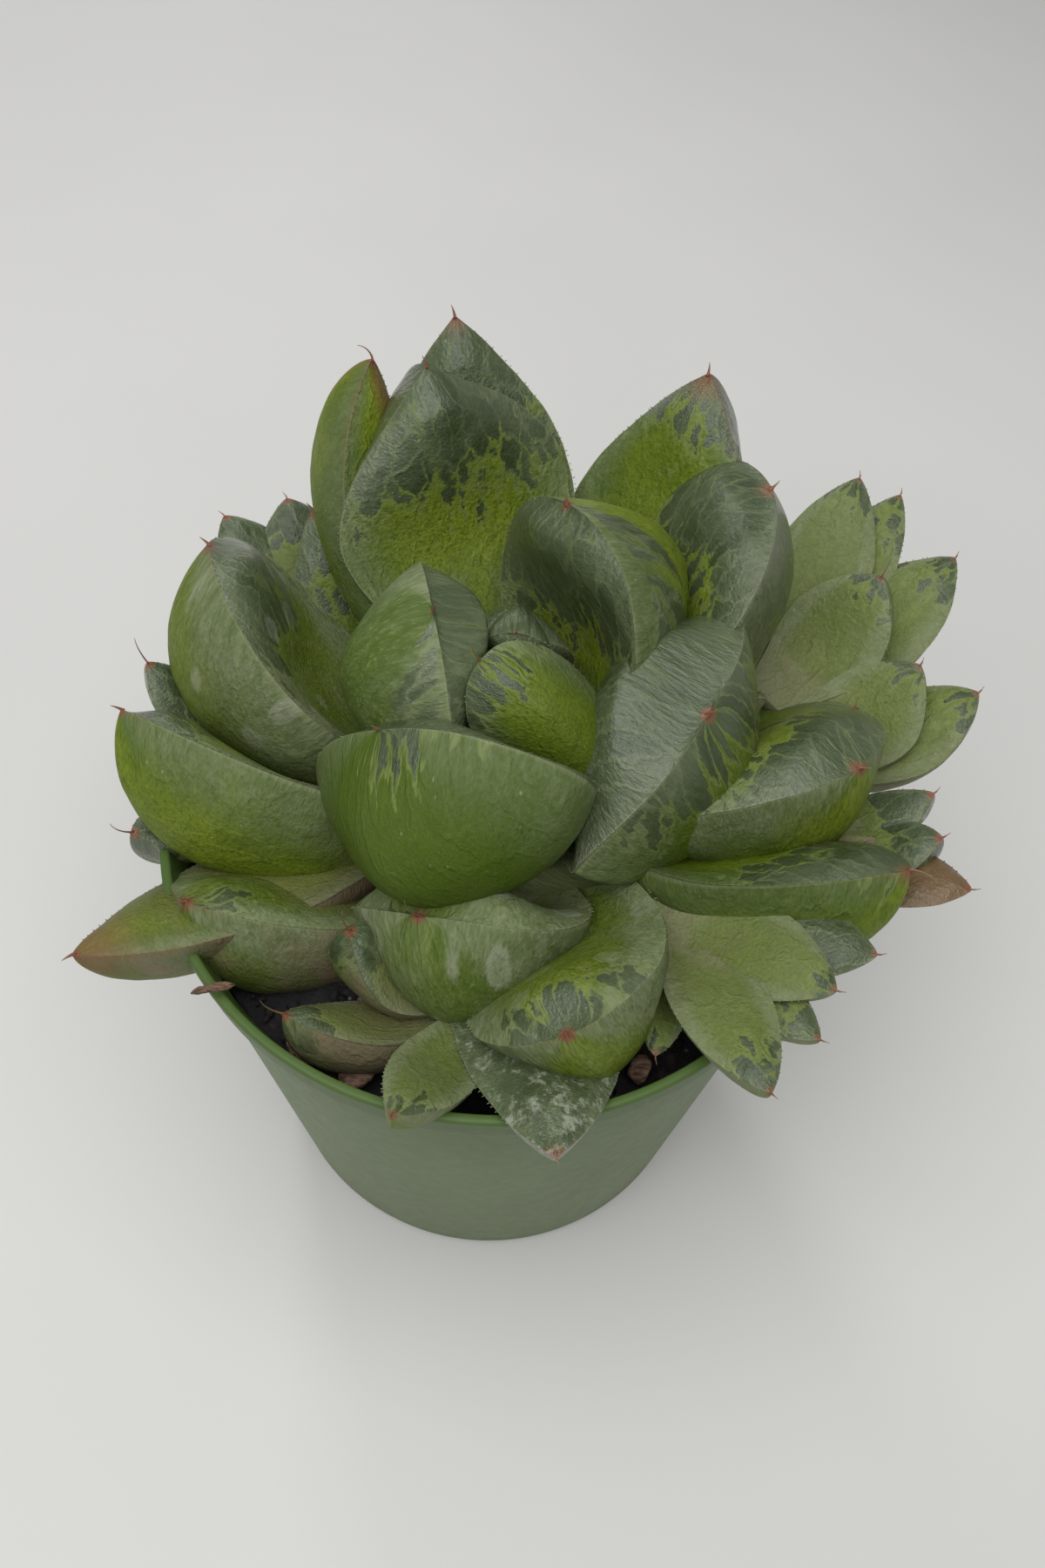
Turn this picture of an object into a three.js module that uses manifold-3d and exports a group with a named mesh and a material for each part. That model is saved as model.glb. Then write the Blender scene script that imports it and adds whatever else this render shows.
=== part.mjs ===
// A potted succulent: a large keeled-leaf rosette with small offset rosettes,
// growing in a round, tapered 3 inch plastic nursery pot that is full to the rim.
// Units are millimetres. +Z is up, +Y points away from the viewer, and the centre
// of the pot's underside is at the origin.
import * as THREE from "three";
import ManifoldModule from "manifold-3d";

const wasm = await ManifoldModule();
wasm.setup();
const { Manifold, Mesh: SolidMesh } = wasm;

// ---------------------------------------------------------------- dimensions

const GAP = 0.3; // clear distance left between pieces that rest on each other

const POT = {
  height: 62.5,
  rimRadius: 38.0,
  collarRadius: 37.4,
  collarHeight: 4.7,
  shoulderRadius: 36.6,
  baseRadius: 28.5,
  footHeight: 2.0,
  footStep: 0.5,
  wall: 1.1,
  lipHeight: 1.2,
  floor: 1.6,
  drainRadius: 3.0,
  drainCircle: 19.0,
  drainCount: 5,
  segments: 52,
};

const SOIL = {
  top: 52.5,
  relief: 0.9,
  rings: 6,
  segments: 30,
};

const STEM = { radius: 5.5, bottom: 44.0, height: 10.0 };

// The main rosette leans towards the viewer, as a plant does that grew to light.
const ROSETTE = { centre: [1, 12, 56], lean: 18 };

const LEAF_RINGS = 12;
const LEAF_SIDES = 10;
const SMALL_RINGS = 7;
const SMALL_SIDES = 8;

// One row per leaf of the main rosette, from the bud outwards.
// tip: [compass angle, distance from the rosette's axis, height along it]
// root: the same for the middle of the leaf's base
// size: [width, depth from face to keel]
// belly: compass angle that the keel faces; face: how far the upper face looks up
// sag: how far the leaf bows towards its keel; side: how far it bows sideways
// lobe: how far one shoulder runs on towards the tip, clockwise one if positive
// cup: how far the upper face is hollowed, and dome: how far it swells near the tip,
// both as shares of the width
const MAIN_LEAVES = [
  { name: "main_leaf_01", tip: [88, 3.5, 30], root: [88, 2, 20], size: [8, 5], belly: 88, sag: 0.5,
    baseWidth: 0.8, dome: 0.2, blunt: 0.5 },
  { name: "main_leaf_02", tip: [200, 3.5, 33], root: [330, 13, 8], size: [14, 7], belly: 325, face: 0, sag: 1,
    blunt: 0.4, baseWidth: 0.9 },
  { name: "main_leaf_03", tip: [75.5, 18.8, 31.5], root: [345, 4.5, 11], size: [27, 16], belly: 5, face: 0.85,
    sag: 0.5, side: 0, cup: 0.12, dome: 0.1, blunt: 0.42 },
  { name: "main_leaf_04", tip: [152, 9.6, 32], root: [215, 4, 10], size: [26, 11], belly: 204, face: 0.5,
    sag: 1.5, side: 0.5, dome: 0.22, blunt: 0.35 },
  { name: "main_leaf_05", tip: [214, 15.5, 31.5], root: [264, 7, 11], size: [33, 14], belly: 266, face: 0.1,
    sag: 2.5, side: -2, lobe: 2, dome: 0.10, blunt: 0.5, baseWidth: 0.4 },
  { name: "main_leaf_06", tip: [350.5, 20.8, 28], root: [262, 13, 1], size: [37, 16], belly: 342, face: 0.25,
    sag: 0, side: -6, lobe: -3, dome: 0.24, blunt: 0.45 },
  { name: "main_leaf_07", tip: [108, 38, 29], root: [105, 6, 8], size: [30, 13], belly: 125, sag: 5, side: 1.5,
    lobe: 2, dome: 0.12, blunt: 1.15 },
  { name: "main_leaf_08", tip: [42, 37, 26], root: [24, 6, 7], size: [31, 17], belly: 8, face: 0.5, sag: -1,
    side: -3, cup: 0.12, blunt: 0.5 },
  { name: "main_leaf_09", tip: [156, 38, 23], root: [195, 8, 4], size: [27, 16], belly: 224, face: 0.7, sag: 1,
    lobe: 5, cup: 0.12 },
  { name: "main_leaf_10", tip: [252, 26.5, 22.5], root: [258, 11, 3], size: [27, 12], belly: 268, face: 0,
    sag: 4, side: -2, dome: 0.2, blunt: 0.34, baseWidth: 0.4 },
  { name: "main_leaf_11", tip: [350, 38, 23], root: [330, 7, 4], size: [30, 14], belly: 318, face: 0.3, sag: 0,
    side: -5, lobe: -1, dome: 0.14, blunt: 0.55 },
  { name: "main_leaf_12", tip: [101.5, 47, 25], root: [95, 5, 5], size: [24, 12], belly: 101, sag: 5,
    blunt: 1 },
  { name: "main_leaf_13", tip: [63, 45, 25], root: [68, 5, 5], size: [25, 12], belly: 35, sag: 5, blunt: 0.95 },
  { name: "main_leaf_14", tip: [186, 42, 22], root: [215, 8, 2], size: [22, 12], belly: 262, face: 0.3,
    sag: 3.5, lobe: 2 },
  { name: "main_leaf_15", tip: [338, 46, 22], root: [315, 6, 2], size: [24, 12], belly: 290, face: 0.4, sag: 3,
    side: -2, lobe: -2 },
  { name: "main_leaf_16", tip: [115, 43.5, 25], root: [128, 8, 6], size: [14, 10], belly: 165, face: 0.5,
    sag: 5 },
  { name: "main_leaf_17", tip: [281, 38, 28], root: [288, 13, 3], size: [24, 12], belly: 300, face: 0.2,
    sag: 2, lobe: -4, dome: 0.14, blunt: 0.6 },
  { name: "main_leaf_18", tip: [216, 41, 18], root: [235, 8, 0], size: [22, 12], belly: 262, face: 0.6, sag: 4,
    lobe: 6 },
  { name: "main_leaf_19", tip: [215, 53.4, 19], root: [222, 6, 3], size: [15, 9], belly: 258, face: 0.9,
    sag: 1 },
  { name: "main_leaf_20", tip: [278, 49, 27], root: [283, 7, -1], size: [19, 6], belly: 275, face: 1.2,
    sag: 3 },
  { name: "main_leaf_21", tip: [92, 4.5, 26], root: [95, 3, 12], size: [14, 6], belly: 95, sag: 1, dome: 0.2,
    blunt: 0.5 },
  { name: "main_leaf_22", tip: [84, 35, 8], root: [84, 6, 0], size: [18, 9], belly: 84, sag: 3 },
  { name: "main_leaf_23", tip: [133, 38, 10], root: [133, 6, 0], size: [21, 10], belly: 133, sag: 3 },
];

// Each offset rosette is one piece: its leaves join on a short stem of their own.
// centre: middle of the rosette; foot: [x, y] where its stem leaves the soil.
// A leaf row is: tip [angle, distance, height], size [width, depth], and belly.
const OFFSETS = [
  {
    name: "offset_front_left", centre: [1, -20, 56], foot: [2, -17], stem: 2.6,
    leaves: [
      { tip: [176, 15.5, 10], size: [11, 7], belly: 176, face: 0.4 },
      { tip: [198, 22.7, 6], size: [10, 6], belly: 235 },
      { tip: [246, 21.8, 12], size: [9, 5], belly: 246, sag: 1 },
    ],
  },
  {
    name: "offset_front_right", centre: [20, -16, 60.5], foot: [18, -14], stem: 2.6,
    leaves: [
      { tip: [335, 17.5, 6.5], root: [120, 5, 1], size: [11, 6], belly: 335, sag: -1 },
      { tip: [292, 21.5, 8.5], root: [100, 5, 1], size: [10, 6], belly: 292, sag: -0.5 },
      { tip: [319, 18.7, 5], root: [110, 3, 0], size: [8, 5], belly: 319, sag: -0.5 },
      { tip: [352, 20.7, 6.5], root: [130, 5, 1], size: [11, 6], belly: 352, sag: -0.5 },
      { tip: [261, 12.8, 0], size: [5, 4], belly: 261, sag: -0.5 },
    ],
  },
  {
    name: "offset_right_back", centre: [30, 16, 65], foot: [24, 13], stem: 3.0,
    leaves: [
      { tip: [40, 18, 11], size: [14, 9], belly: 40, face: 0.3 },
      { tip: [38.5, 31.7, 7], size: [14, 8], belly: 38 },
      { tip: [66, 31.7, 11], size: [13, 7], belly: 66 },
      { tip: [57, 34, 9], size: [11, 7], belly: 57 },
      { tip: [90, 24, 6], size: [12, 7], belly: 90 },
    ],
  },
  {
    name: "offset_right_middle", centre: [33, 6, 65], foot: [26, 5], stem: 2.6,
    leaves: [
      { tip: [37, 19, 7], size: [13, 9], belly: 37 },
      { tip: [23, 24.2, 5], size: [12, 7], belly: 23 },
      { tip: [39, 9.6, 5], size: [6, 4], belly: 39 },
    ],
  },
  {
    name: "offset_right_low", centre: [32, -3, 64], foot: [26, -3], stem: 2.4,
    leaves: [
      { tip: [16, 17.5, 4], size: [7, 5], belly: 16 },
      { tip: [356, 17, 4], size: [9, 5], belly: 356 },
      { tip: [342, 21, 2], size: [9, 3], belly: 342, sag: 0.5 },
    ],
  },
  {
    name: "offset_back_left", centre: [-22, 25, 63], foot: [-18, 21], stem: 2.8,
    leaves: [
      { tip: [136, 21.6, 5], size: [11, 6], belly: 136 },
      { tip: [113, 20.6, 5], size: [12, 7], belly: 113 },
      { tip: [160, 17, 6], size: [10, 6], belly: 160 },
      { tip: [90, 18, 7], size: [11, 7], belly: 90 },
    ],
  },
  {
    name: "offset_left", centre: [-25, 4, 61], foot: [-22, 4], stem: 2.6,
    leaves: [
      { tip: [152, 18.6, 9], size: [8, 5], belly: 152 },
      { tip: [217, 18.8, 3.5], size: [9, 6], belly: 217 },
      { tip: [185, 15, 6], size: [8, 5], belly: 185 },
    ],
  },
];

// Loose bark chips that lie on the soil: [name, x, y, length, width, height, turn]
const CHIPS = [
  ["bark_chip_1", -13.3, -29.9, 4.2, 2.6, 2.0, 30],
  ["bark_chip_2", -19.5, -26.8, 4.0, 2.8, 1.8, 125],
  ["bark_chip_3", 17.1, -26.9, 3.6, 2.4, 1.8, 70],
];

// A dried leaf that lies over the front-left of the rim.
const DRY_LEAF = { centre: [-27.8, -25.6, 63.6], length: 4.6, width: 1.9, thickness: 0.9, turn: 200 };

const COLOUR = {
  pot: 0x7f9a72,
  soil: 0x1d1d20,
  leaf: 0x4f7a33,
  offset: 0x6f8a4c,
  bark: 0x7a5138,
  dry: 0x9c7a52,
};

// ------------------------------------------------------------------- helpers

const radians = (degrees) => (degrees * Math.PI) / 180;

function smooth(from, to, x) {
  const t = Math.min(1, Math.max(0, (x - from) / (to - from)));
  return t * t * (3 - 2 * t);
}

// A rosette's own axes: height along its axis, and compass angles round it.
class Rosette {
  constructor(centre, leanDegrees) {
    this.centre = new THREE.Vector3(...centre);
    const tilt = new THREE.Quaternion().setFromAxisAngle(new THREE.Vector3(1, 0, 0), radians(leanDegrees));
    this.x = new THREE.Vector3(1, 0, 0).applyQuaternion(tilt);
    this.y = new THREE.Vector3(0, 1, 0).applyQuaternion(tilt);
    this.axis = new THREE.Vector3(0, 0, 1).applyQuaternion(tilt);
  }

  outward(angle) {
    const a = radians(angle);
    return this.x.clone().multiplyScalar(Math.cos(a)).addScaledVector(this.y, Math.sin(a));
  }

  point([angle, distance, height]) {
    return this.centre.clone().addScaledVector(this.outward(angle), distance).addScaledVector(this.axis, height);
  }
}

// Half the leaf's width at t, as a share of the widest: clasping base, broad
// middle, and a tip that closes in an arch.
function widthShare(t, base, blunt) {
  const widest = 0.55;
  if (t < widest) {
    return base + (1 - base) * smooth(0, widest, t);
  }
  return (1 - ((t - widest) / (1 - widest)) ** 1.9) ** blunt;
}

// Distance from the upper face to the keel at t, as a share of the deepest.
function depthShare(t) {
  const deepest = 0.6;
  if (t < deepest) {
    return 0.6 + 0.4 * smooth(0, deepest, t);
  }
  return (1 - ((t - deepest) / (1 - deepest)) ** 2.2) ** 0.62;
}

// One fleshy leaf: a shallow trough on top, a keeled belly below, a short point.
function leafMesh(rosette, row, rings, sides, grow) {
  const root = rosette.point(row.root ?? [row.tip[0], 1.5, 0]);
  const tip = rosette.point(row.tip);
  const run = tip.clone().sub(root);
  const length = run.length();
  run.normalize();
  const up = rosette.axis.clone().multiplyScalar(row.face ?? 0.75).sub(rosette.outward(row.belly));
  up.addScaledVector(run, -up.dot(run)).normalize();
  const across = run.clone().cross(up);
  const [width, depth] = row.size;
  const sag = row.sag ?? 2;
  const side = row.side ?? 0;
  const cup = row.cup ?? 0.05;
  const dome = row.dome ?? 0.1;
  const lobe = row.lobe ?? 0;

  const middle = (t) => {
    const bow = Math.sin(Math.PI * t);
    return root.clone().addScaledVector(run, length * t).addScaledVector(up, -sag * bow).addScaledVector(across, side * bow);
  };
  const heading = (t) => middle(Math.min(1, t + 1e-3)).sub(middle(Math.max(0, t - 1e-3))).normalize();

  const points = [middle(0).addScaledVector(up, -0.3 * depth).addScaledVector(run, -2 * grow)];
  for (let ring = 0; ring < rings; ring += 1) {
    const t = ring === 0 ? 0 : 0.5 - 0.5 * Math.cos(Math.PI * (ring / rings) ** 0.92);
    const along = heading(t);
    const normal = up.clone().addScaledVector(along, -up.dot(along)).normalize();
    const lateral = along.clone().cross(normal);
    const broad = widthShare(t, row.baseWidth ?? 0.55, row.blunt ?? 0.8);
    const halfWidth = (width / 2) * broad + 1.3 * grow;
    const keelDepth = depth * depthShare(t) + grow;
    const swell = dome * smooth(0.35, 0.78, t) * (1 - smooth(0.88, 1, t));
    const hollow = cup * Math.sin(Math.PI * Math.min(1, t / 0.85)) * (1 - smooth(0.7, 0.95, t));
    const crown = width * (swell - hollow);
    const keel = smooth(0.15, 0.8, t);
    const reach = grow * (1.4 * smooth(0.75, 1, t) - 1 + smooth(0, 0.25, t));
    for (let i = 0; i < sides; i += 1) {
      const a = (2 * Math.PI * i) / sides;
      const x = Math.cos(a);
      const span = Math.min(1, Math.abs(x));
      const round = Math.sqrt(Math.max(0, 1 - span * span));
      const sharp = Math.max(0, 1 - span ** 1.6) ** 0.85;
      const upper = crown * (1 - x * x) + (Math.sin(a) > 1e-9 ? grow : 0);
      const lower = -keelDepth * ((1 - keel) * round + keel * sharp);
      const height = Math.sin(a) > -1e-9 ? upper : lower;
      const corner = middle(t).addScaledVector(lateral, halfWidth * x).addScaledVector(normal, height);
      const shoulder = lobe * x > 0 ? Math.abs(lobe) * x * x * broad * smooth(0.3, 0.85, t) : 0;
      points.push(corner.addScaledVector(along, reach + shoulder));
    }
  }
  const end = heading(1);
  const point = end.clone().addScaledVector(up, 0.3).normalize();
  points.push(middle(1).addScaledVector(end, 0.3 + 2.4 * grow).addScaledVector(point, row.point ?? 1.2));

  const faces = [];
  const at = (ring, i) => 1 + ring * sides + (i % sides);
  const last = points.length - 1;
  for (let i = 0; i < sides; i += 1) {
    faces.push([0, at(0, i + 1), at(0, i)]);
    faces.push([at(rings - 1, i), at(rings - 1, i + 1), last]);
  }
  for (let ring = 0; ring < rings - 1; ring += 1) {
    for (let i = 0; i < sides; i += 1) {
      faces.push([at(ring, i), at(ring, i + 1), at(ring + 1, i + 1)]);
      faces.push([at(ring, i), at(ring + 1, i + 1), at(ring + 1, i)]);
    }
  }
  return { points, faces };
}

// Points and faces to a closed solid, with its faces turned outwards.
function toSolid({ points, faces }) {
  let volume = 0;
  for (const [a, b, c] of faces) {
    volume += points[a].dot(points[b].clone().cross(points[c]));
  }
  const ordered = volume < 0 ? faces.map(([a, b, c]) => [a, c, b]) : faces;
  const vertProperties = new Float32Array(points.flatMap((p) => [p.x, p.y, p.z]));
  const triVerts = new Uint32Array(ordered.flat());
  return new Manifold(new SolidMesh({ numProp: 3, vertProperties, triVerts }));
}

// An outline of [radius, height] pairs turned round the pot's axis. A ring's
// outline joins its own start; any other starts and ends on the axis.
function lathe(outline, segments, ring = false) {
  const points = [];
  const faces = [];
  const rows = outline.map(([radius, height]) => {
    const row = [];
    const count = radius === 0 ? 1 : segments;
    for (let i = 0; i < count; i += 1) {
      const a = (2 * Math.PI * i) / segments;
      row.push(points.length);
      points.push(new THREE.Vector3(radius * Math.cos(a), radius * Math.sin(a), height));
    }
    return row;
  });
  for (let j = 0; j < rows.length - (ring ? 0 : 1); j += 1) {
    const low = rows[j];
    const high = rows[(j + 1) % rows.length];
    for (let i = 0; i < segments; i += 1) {
      const next = (i + 1) % segments;
      if (low.length > 1) {
        faces.push([low[i], low[next], high[high.length > 1 ? next : 0]]);
      }
      if (high.length > 1) {
        faces.push([low[low.length > 1 ? i : 0], high[next], high[i]]);
      }
    }
  }
  return toSolid({ points, faces });
}

// A round bar from one point to another.
function bar(from, to, radius, sides) {
  const a = new THREE.Vector3(...from);
  const b = new THREE.Vector3(...to);
  const run = b.clone().sub(a);
  const turn = new THREE.Quaternion().setFromUnitVectors(new THREE.Vector3(0, 0, 1), run.clone().normalize());
  const matrix = new THREE.Matrix4().compose(a, turn, new THREE.Vector3(1, 1, 1));
  return Manifold.cylinder(run.length(), radius, radius, sides).transform(matrix.elements);
}

// The largest of the bodies that a cut leaves.
function largest(solid) {
  return solid.decompose().reduce((best, piece) => (piece.volume() > best.volume() ? piece : best));
}

function boxesMeet(a, b) {
  const p = a.boundingBox();
  const q = b.boundingBox();
  return [0, 1, 2].every((k) => p.min[k] < q.max[k] && q.min[k] < p.max[k]);
}

function cutAll(solid, cutters) {
  let result = solid;
  for (const cutter of cutters) {
    if (boxesMeet(result, cutter)) {
      result = result.subtract(cutter);
    }
  }
  return largest(result).simplify(0.04);
}

function toMesh(name, solid, colour, roughness) {
  const { vertProperties, triVerts, numProp } = solid.getMesh();
  const count = vertProperties.length / numProp;
  const positions = new Float32Array(count * 3);
  for (let i = 0; i < count; i += 1) {
    for (let k = 0; k < 3; k += 1) {
      positions[3 * i + k] = vertProperties[numProp * i + k];
    }
  }
  const geometry = new THREE.BufferGeometry();
  geometry.setAttribute("position", new THREE.BufferAttribute(positions, 3));
  geometry.setIndex(new THREE.BufferAttribute(triVerts, 1));
  geometry.computeVertexNormals();
  const mesh = new THREE.Mesh(geometry, new THREE.MeshStandardMaterial({ color: colour, roughness }));
  mesh.name = name;
  return mesh;
}

// ---------------------------------------------------------------------- pot

function innerRadius(z) {
  const share = (z - POT.footHeight) / (POT.height - POT.collarHeight - POT.footHeight);
  return POT.baseRadius + POT.footStep - POT.wall + (POT.shoulderRadius - POT.baseRadius - POT.footStep) * share;
}

function buildPot() {
  const collarBottom = POT.height - POT.collarHeight;
  const outline = [
    [0, 0],
    [POT.baseRadius, 0],
    [POT.baseRadius, POT.footHeight],
    [POT.baseRadius + POT.footStep, POT.footHeight],
    [POT.shoulderRadius, collarBottom],
    [POT.collarRadius, collarBottom + 0.3],
    [POT.collarRadius + 0.2, POT.height - POT.lipHeight],
    [POT.rimRadius, POT.height - POT.lipHeight + 0.2],
    [POT.rimRadius, POT.height - 0.3],
    [POT.rimRadius - 0.4, POT.height],
    [POT.rimRadius - 1.1, POT.height],
    [innerRadius(collarBottom) + 0.3, collarBottom],
    [innerRadius(POT.floor), POT.floor],
    [0, POT.floor],
  ];
  let pot = lathe(outline, POT.segments);
  for (let i = 0; i < POT.drainCount; i += 1) {
    const a = (2 * Math.PI * (i + 0.5)) / POT.drainCount;
    const x = POT.drainCircle * Math.cos(a);
    const y = POT.drainCircle * Math.sin(a);
    pot = pot.subtract(bar([x, y, -1], [x, y, POT.floor + 1], POT.drainRadius, 20));
  }
  return pot;
}

// The pot's upper wall with a gap round it, for cutting what lies over the rim.
function buildRimCutter() {
  const low = SOIL.top - 3;
  return lathe([
    [innerRadius(low) - GAP, low],
    [POT.rimRadius + GAP, low],
    [POT.rimRadius + GAP, POT.height + GAP],
    [POT.rimRadius - 1.1 - GAP, POT.height + GAP],
  ], 48, true);
}

// --------------------------------------------------------------------- soil

// Lumps of the soil's surface, the same every time.
function soilLump(x, y) {
  return 0.5 * (Math.sin(0.43 * x + 1.3) * Math.cos(0.37 * y + 0.4) + Math.sin(0.91 * x - 0.77 * y));
}

// Everything up to just above the soil's highest lump.
function buildSoilCutter() {
  return Manifold.cylinder(SOIL.top + SOIL.relief + GAP, 45, 45, 24);
}

function buildSoil() {
  const outer = innerRadius(SOIL.top) - GAP;
  const points = [new THREE.Vector3(0, 0, SOIL.top)];
  const faces = [];
  for (let ring = 1; ring <= SOIL.rings; ring += 1) {
    const radius = (outer * ring) / SOIL.rings;
    for (let i = 0; i < SOIL.segments; i += 1) {
      const a = (2 * Math.PI * i) / SOIL.segments;
      const x = radius * Math.cos(a);
      const y = radius * Math.sin(a);
      const lump = ring < SOIL.rings ? SOIL.relief * soilLump(x, y) : -0.4;
      points.push(new THREE.Vector3(x, y, SOIL.top + lump));
    }
  }
  const floorHeight = POT.floor + GAP;
  const bottom = innerRadius(floorHeight) - GAP;
  for (let i = 0; i < SOIL.segments; i += 1) {
    const a = (2 * Math.PI * i) / SOIL.segments;
    points.push(new THREE.Vector3(bottom * Math.cos(a), bottom * Math.sin(a), floorHeight));
  }
  points.push(new THREE.Vector3(0, 0, floorHeight));
  const at = (ring, i) => 1 + (ring - 1) * SOIL.segments + (i % SOIL.segments);
  const last = points.length - 1;
  for (let i = 0; i < SOIL.segments; i += 1) {
    faces.push([0, at(1, i), at(1, i + 1)]);
    faces.push([at(SOIL.rings + 1, i), last, at(SOIL.rings + 1, i + 1)]);
  }
  for (let ring = 1; ring <= SOIL.rings; ring += 1) {
    for (let i = 0; i < SOIL.segments; i += 1) {
      faces.push([at(ring, i), at(ring + 1, i + 1), at(ring, i + 1)]);
      faces.push([at(ring, i), at(ring + 1, i), at(ring + 1, i + 1)]);
    }
  }
  let soil = toSolid({ points, faces });
  soil = soil.subtract(mainStemBar(STEM.radius + GAP, STEM.bottom - GAP, 20));
  for (const offset of OFFSETS) {
    soil = soil.subtract(bar([...offset.foot, STEM.bottom - GAP], [...offset.foot, 60], offset.stem + GAP, 16));
  }
  return largest(soil);
}

// -------------------------------------------------------------------- plant

function mainStemBar(radius, bottom, sides) {
  const [x, y] = ROSETTE.centre;
  return bar([x, y, bottom], [x, y, SOIL.top + 3], radius, sides);
}

function buildMainStem(rosette) {
  const foot = mainStemBar(STEM.radius, STEM.bottom, 20);
  const head = rosette.point([0, 0, STEM.height]);
  const [x, y] = ROSETTE.centre;
  return foot.add(bar([x, y, SOIL.top + 2.5], head.toArray(), STEM.radius - 0.05, 20));
}

// An upright foot in the soil, then a stalk that leans out to the leaves.
function buildOffsetStem(offset, radius) {
  const [x, y] = offset.foot;
  const bend = SOIL.top + 1.5;
  const [headX, headY, headZ] = offset.centre;
  const foot = bar([x, y, STEM.bottom], [x, y, bend], radius, 14);
  return foot.add(bar([x, y, bend - 0.8], [headX, headY, headZ + 1], radius, 14));
}

function buildOffset(offset, grow) {
  const rosette = new Rosette(offset.centre, 0);
  const leaves = offset.leaves.map((row) => toSolid(leafMesh(rosette, row, SMALL_RINGS, SMALL_SIDES, grow)));
  const crown = Manifold.union(leaves).subtract(buildSoilCutter());
  return crown.add(buildOffsetStem(offset, offset.stem + grow));
}

// An uneven chip: a squashed ball with its corners moved.
function buildChip([, x, y, length, width, height, turn]) {
  const shape = new THREE.IcosahedronGeometry(1, 1);
  const position = shape.getAttribute("position");
  const points = [];
  for (let i = 0; i < position.count; i += 1) {
    const p = new THREE.Vector3().fromBufferAttribute(position, i);
    const lump = 1 + 0.16 * Math.sin(3.1 * p.x + 2.3 * p.y + 1.7 * p.z + turn);
    p.multiplyScalar(lump).multiply(new THREE.Vector3(length / 2, width / 2, height / 2));
    p.applyAxisAngle(new THREE.Vector3(0, 0, 1), radians(turn));
    points.push([p.x + x, p.y + y, p.z + SOIL.top + 1.15]);
  }
  return Manifold.hull(points);
}

function buildDryLeaf() {
  const { centre, length, width, thickness, turn } = DRY_LEAF;
  const blade = Manifold.sphere(1, 16).scale([length / 2, width / 2, thickness / 2]);
  const curled = blade.warp((v) => {
    v[2] += 0.02 * v[0] * v[0] + 0.12 * v[1] * v[1];
  });
  return curled.rotate([0, 0, turn]).translate(centre);
}

// ----------------------------------------------------------------- assembly

const part = new THREE.Group();
part.name = "potted_succulent";

const rosette = new Rosette(ROSETTE.centre, ROSETTE.lean);
const pot = buildPot();
const soil = buildSoil();
part.add(toMesh("pot", pot, COLOUR.pot, 0.45));
part.add(toMesh("soil", soil, COLOUR.soil, 0.95));
part.add(toMesh("main_stem", buildMainStem(rosette), COLOUR.leaf, 0.6));

// Everything above the soil gives way to what was placed before it.
const cutters = [
  buildSoilCutter(),
  buildRimCutter(),
  mainStemBar(STEM.radius + GAP, STEM.bottom, 20),
  bar([1, 12, SOIL.top + 2], rosette.point([0, 0, STEM.height + GAP]).toArray(), STEM.radius + GAP, 20),
];
for (const row of MAIN_LEAVES) {
  const leaf = toSolid(leafMesh(rosette, row, LEAF_RINGS, LEAF_SIDES, 0));
  part.add(toMesh(row.name, cutAll(leaf, cutters), COLOUR.leaf, 0.4));
  cutters.push(toSolid(leafMesh(rosette, row, LEAF_RINGS, LEAF_SIDES, GAP)).add(leaf));
}
const plantCutters = cutters.slice(1);
for (const offset of OFFSETS) {
  const whole = buildOffset(offset, 0);
  part.add(toMesh(offset.name, cutAll(whole, plantCutters), COLOUR.offset, 0.45));
  plantCutters.push(buildOffset(offset, GAP).add(whole));
}
for (const chip of CHIPS) {
  part.add(toMesh(chip[0], cutAll(buildChip(chip), plantCutters), COLOUR.bark, 0.9));
}
part.add(toMesh("dry_leaf", cutAll(buildDryLeaf(), plantCutters), COLOUR.dry, 0.8));

export default part;
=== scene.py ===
"""A potted succulent: a big rosette of fat keeled leaves with small side rosettes.

The plant stands in a thin, tapered plastic nursery pot that is full of dark soil.
Sizes are in millimetres, and are turned into Blender's metres where meshes are made.
"""

from __future__ import annotations

import logging
import math
import random
from dataclasses import dataclass, field, replace
from enum import Enum
from functools import partialmethod

import bmesh
import bpy
from mathutils import Matrix, Vector, noise

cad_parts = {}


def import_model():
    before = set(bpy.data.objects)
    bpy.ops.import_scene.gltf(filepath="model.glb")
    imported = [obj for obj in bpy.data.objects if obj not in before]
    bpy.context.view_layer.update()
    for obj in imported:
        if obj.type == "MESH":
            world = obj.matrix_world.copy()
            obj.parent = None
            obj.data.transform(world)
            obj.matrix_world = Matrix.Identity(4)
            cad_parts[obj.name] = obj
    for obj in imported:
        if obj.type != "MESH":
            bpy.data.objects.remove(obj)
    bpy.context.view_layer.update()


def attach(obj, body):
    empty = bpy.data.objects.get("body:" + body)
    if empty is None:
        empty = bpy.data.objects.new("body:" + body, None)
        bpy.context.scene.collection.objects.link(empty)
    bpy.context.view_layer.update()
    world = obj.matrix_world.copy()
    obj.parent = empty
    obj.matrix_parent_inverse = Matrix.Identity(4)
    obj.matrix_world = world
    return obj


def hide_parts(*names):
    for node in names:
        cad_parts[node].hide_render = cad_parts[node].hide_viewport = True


MM = 0.001
MM_PER_METRE = (1000.0, 1000.0, 1000.0)
NEARLY_ZERO = 1e-6
STEP = 1e-3
BODY = "root"
LOG = logging.getLogger("succulent")

# Heights of the soil's top and of the stems' ends in it.
SOIL_TOP = 52.5
STEM_FOOT = 44.0

# Where a leaf is widest and deepest, as shares of its length, and its depth at the root
# as a share of the deepest. A leaf that is at least as wide as BROAD_LEAF is fully uneven.
WIDEST, DEEPEST, BASE_DEPTH = 0.55, 0.6, 0.6
BROAD_LEAF = 18.0

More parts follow.
